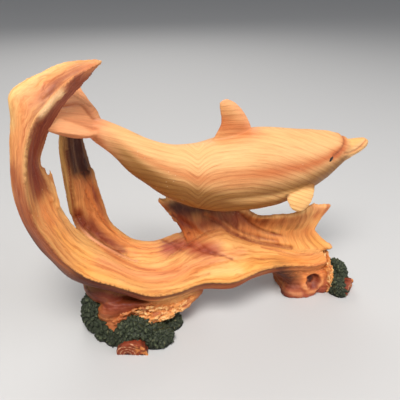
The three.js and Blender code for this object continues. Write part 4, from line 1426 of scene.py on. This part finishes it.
def paint_body(brush):
    """The ochre belly, darkened with painted shade, and the pink band along each flank. Gives the belly's
    share of each vertex.
    """
    x, y, _ = brush.places.T
    share, angle = body_coordinates(brush.places)
    angle = evened(dolphin, angle, 6)
    on_body = (share > 0.02) & (np.abs(y) < 24)
    belly = soft_step(-angle, -14, 20) * soft_step(x, -70, -40) * soft_step(99 - x, 0, 14)
    # Ochre paint on the belly, made darker as painted shade.
    brush.spread(belly_ochre_and_shade, 0.93 * belly * on_body)
    brush.spread(pine_rim, 0.5 * soft_step(-angle, 40, 75) * belly * on_body)
    band_height = np.interp(x, (-60, -30, -12, 0, 26, 42, 63, 75, 88), (6, 14, 12, 16, 16, 17, 15, 16, 24))
    band_width = np.interp(x, (-60, 0, 60, 90), (9, 15, 13, 11))
    band = np.exp(-((angle - band_height) / band_width) ** 2)
    band *= np.interp(x, (-60, -30, 0, 30, 60, 76, 88, 97), (0.25, 0.75, 0.65, 0.95, 1.0, 1.0, 0.8, 0))
    brush.spread(pine_pink, 0.9 * band * on_body)
    return belly


def coat_both_sides(brush, colour, strength, radius, path):
    brush.spread(colour, strength * both_sides(brush.places, path, radius))


def paint_head(brush):
    """Pink cheeks, a brick red crease round the yellow beak, partly painted shade under the melon's edge, and
    the mouth line.
    """
    x, _, z = brush.places.T
    mouth, eye = np.array(mouth_line), np.array(eye_place)
    cheek_line = [(76, 14, 92.5), (80, 12.4, 93.5), (84, 10.6, 95), (87.5, 7.5, 97), (89, 3, 99),
                  (89.4, 0, 99.5)]
    coat_both_sides(brush, pine_pink, 0.85, 3.6, cheek_line)
    # The crease is partly brick red paint and partly painted shade under the melon's edge, deepened at its
    # lower end by the eye.
    coat_both_sides(brush, brick_wood_and_shade, 0.5, 1.5, beak_crease)
    coat_both_sides(brush, brick_wood_and_shade, 0.6, 2.2, beak_crease[3:])
    brush.spread(pine_beak, 0.9 * soft_step(x, 90, 95.5) * soft_step(z - 0.27 * x, 66.4, 67.2))
    coat_both_sides(brush, pine_beak, 0.75, 1.2, mouth[2:] + (0, 0, -1.6))
    coat_both_sides(brush, brick_wood_and_shade, 0.9, 0.6, mouth)
    coat_both_sides(brush, pine_beak, 0.8, 0.7, [eye + (-1, 0.3, -1.9), eye + (1, 0.3, -1.7)])


def paint_fins(brush):
    """The dorsal fin, the blushed tail with its fold and ribs and painted shade under it, and the cream
    flippers with painted shadow at their roots.
    """
    x, y, z = brush.places.T
    brush.coat(pine_pink, 0.85, 8, [(23, 0, 110), (14, 0, 114), (7, 0, 116)])
    brush.coat(pine_tail, 0.8, 3.4, [(30, 0, 106), (24, 0, 117), (16, 0, 127), (9, 0, 130)])
    tail = soft_step(-50 - x, 0, 14)
    patches = soft_noise(np.stack([x / 20, (y - 0.25 * x) / 3, z / 8], axis=1), 93)
    brush.spread(pine_tail, 0.85 * tail)
    brush.spread(blush_wood, 0.75 * tail * soft_step(patches, -0.1, 0.4))
    inner_fluke = [(-84, -9, 129), (-76, -6, 127), (-70, 0, 128), (-68, 8, 132), (-68, 16, 137)]
    brush.coat(blush_wood, 0.7, 5, inner_fluke)
    brush.coat(brick_wood_and_shade, 0.75, 1.7, fluke_fold)
    for rib in fluke_ribs:
        brush.coat(brick_wood_and_shade, 0.55, 1.1, rib)
    # Painted shade on the underside of the tail fluke.
    under_fluke = [(-86, -11, 126), (-78, -10, 122.5), (-68, -7, 118.5), (-60, -3, 116)]
    brush.coat(brick_wood_and_shade, 0.6, 3.0, under_fluke, (0, 0, -1), 0.5)
    brush.spread(pine_flipper, 0.95 * soft_step(np.abs(y), 17, 20) * soft_step(79 - z, 0, 4))
    coat_both_sides(brush, pine_shadow, 0.6, 0.9, [(57, 16.8, 76), (50, 17.2, 74.5), (44, 17.2, 74)])
    coat_both_sides(brush, pine_shadow, 0.8, 1.3, [(42.5, 19.5, 73.5)])
    return tail


def paint_dolphin():
    places, normals = vertex_places(dolphin), vertex_normals(dolphin)
    run, layers = grain_layers(places)
    streaks = soft_noise(np.stack([run / 26, layers / 1.9, 0 * run], axis=1), 91)
    streaks += 0.5 * soft_noise(np.stack([run / 12, layers / 0.9, 0 * run], axis=1), 92)
    brush = Airbrush(places, normals, pine_yellow, 0.6 * streaks)
    belly = paint_body(brush)
    paint_head(brush)
    tail = paint_fins(brush)
    keep_colour(dolphin, "wash", brush.colours)
    keep_value(dolphin, "across", layers)
    keep_value(dolphin, "along", run)
    x = places[:, 0]
    stripe = 0.55 + 1.0 * belly - 0.4 * tail - 0.38 * soft_step(x, 40, 75) - 0.3 * soft_step(x, 86, 92)
    keep_value(dolphin, "stripe", np.clip(stripe, 0, 1.6))


paint_dolphin()
pine = painted_wood_material("pine_paint", 2.4, 0.28, 1.5, 0.46, (0.60, 0.40, 0.25))
finished_piece("dolphin", dolphin, pine)

# The eyes: a narrow bead of glossy black enamel laid in each socket of the casting, slanted with the
# cheek.

eye_slant = math.radians(38)
eye_turn = math.radians(22)
eye_half_sizes = (2.05, 0.7, 1.0)


def eye_mesh():
    bm = bmesh.new()
    for side in (-1, 1):
        made = bmesh.ops.create_icosphere(bm, subdivisions=4, radius=1)["verts"]
        bmesh.ops.scale(bm, vec=eye_half_sizes, verts=made)
        for matrix in (Matrix.Rotation(-eye_slant, 3, "Y"), Matrix.Rotation(-side * eye_turn, 3, "Z")):
            bmesh.ops.rotate(bm, cent=(0, 0, 0), matrix=matrix, verts=made)
        bmesh.ops.translate(bm, vec=(eye_place[0], side * eye_place[1], eye_place[2]), verts=made)
    mesh = bpy.data.meshes.new("eyes")
    bm.to_mesh(mesh)
    bm.free()
    return mesh


def eye_material():
    material = bpy.data.materials.new("eye_gloss")
    material.use_nodes = True
    tree = material.node_tree
    shader = tree.nodes["Principled BSDF"]
    position = tree.nodes.new("ShaderNodeTexCoord").outputs["Object"]
    cloud = scaled_range(tree, noise_node(tree, position, 900, 2), 0.3, 0.7, 0.0, 1.0)
    enamel = mixed_colour(tree, "MIX", cloud, (0.004, 0.003, 0.003), (0.03, 0.014, 0.008))
    link(tree, enamel, shader.inputs["Base Color"])
    link(tree, scaled_range(tree, cloud, 0, 1, 0.22, 0.34), shader.inputs["Roughness"])
    shader.inputs["Specular IOR Level"].default_value = 0.3
    return material


finished_piece("eyes", eye_mesh(), eye_material())
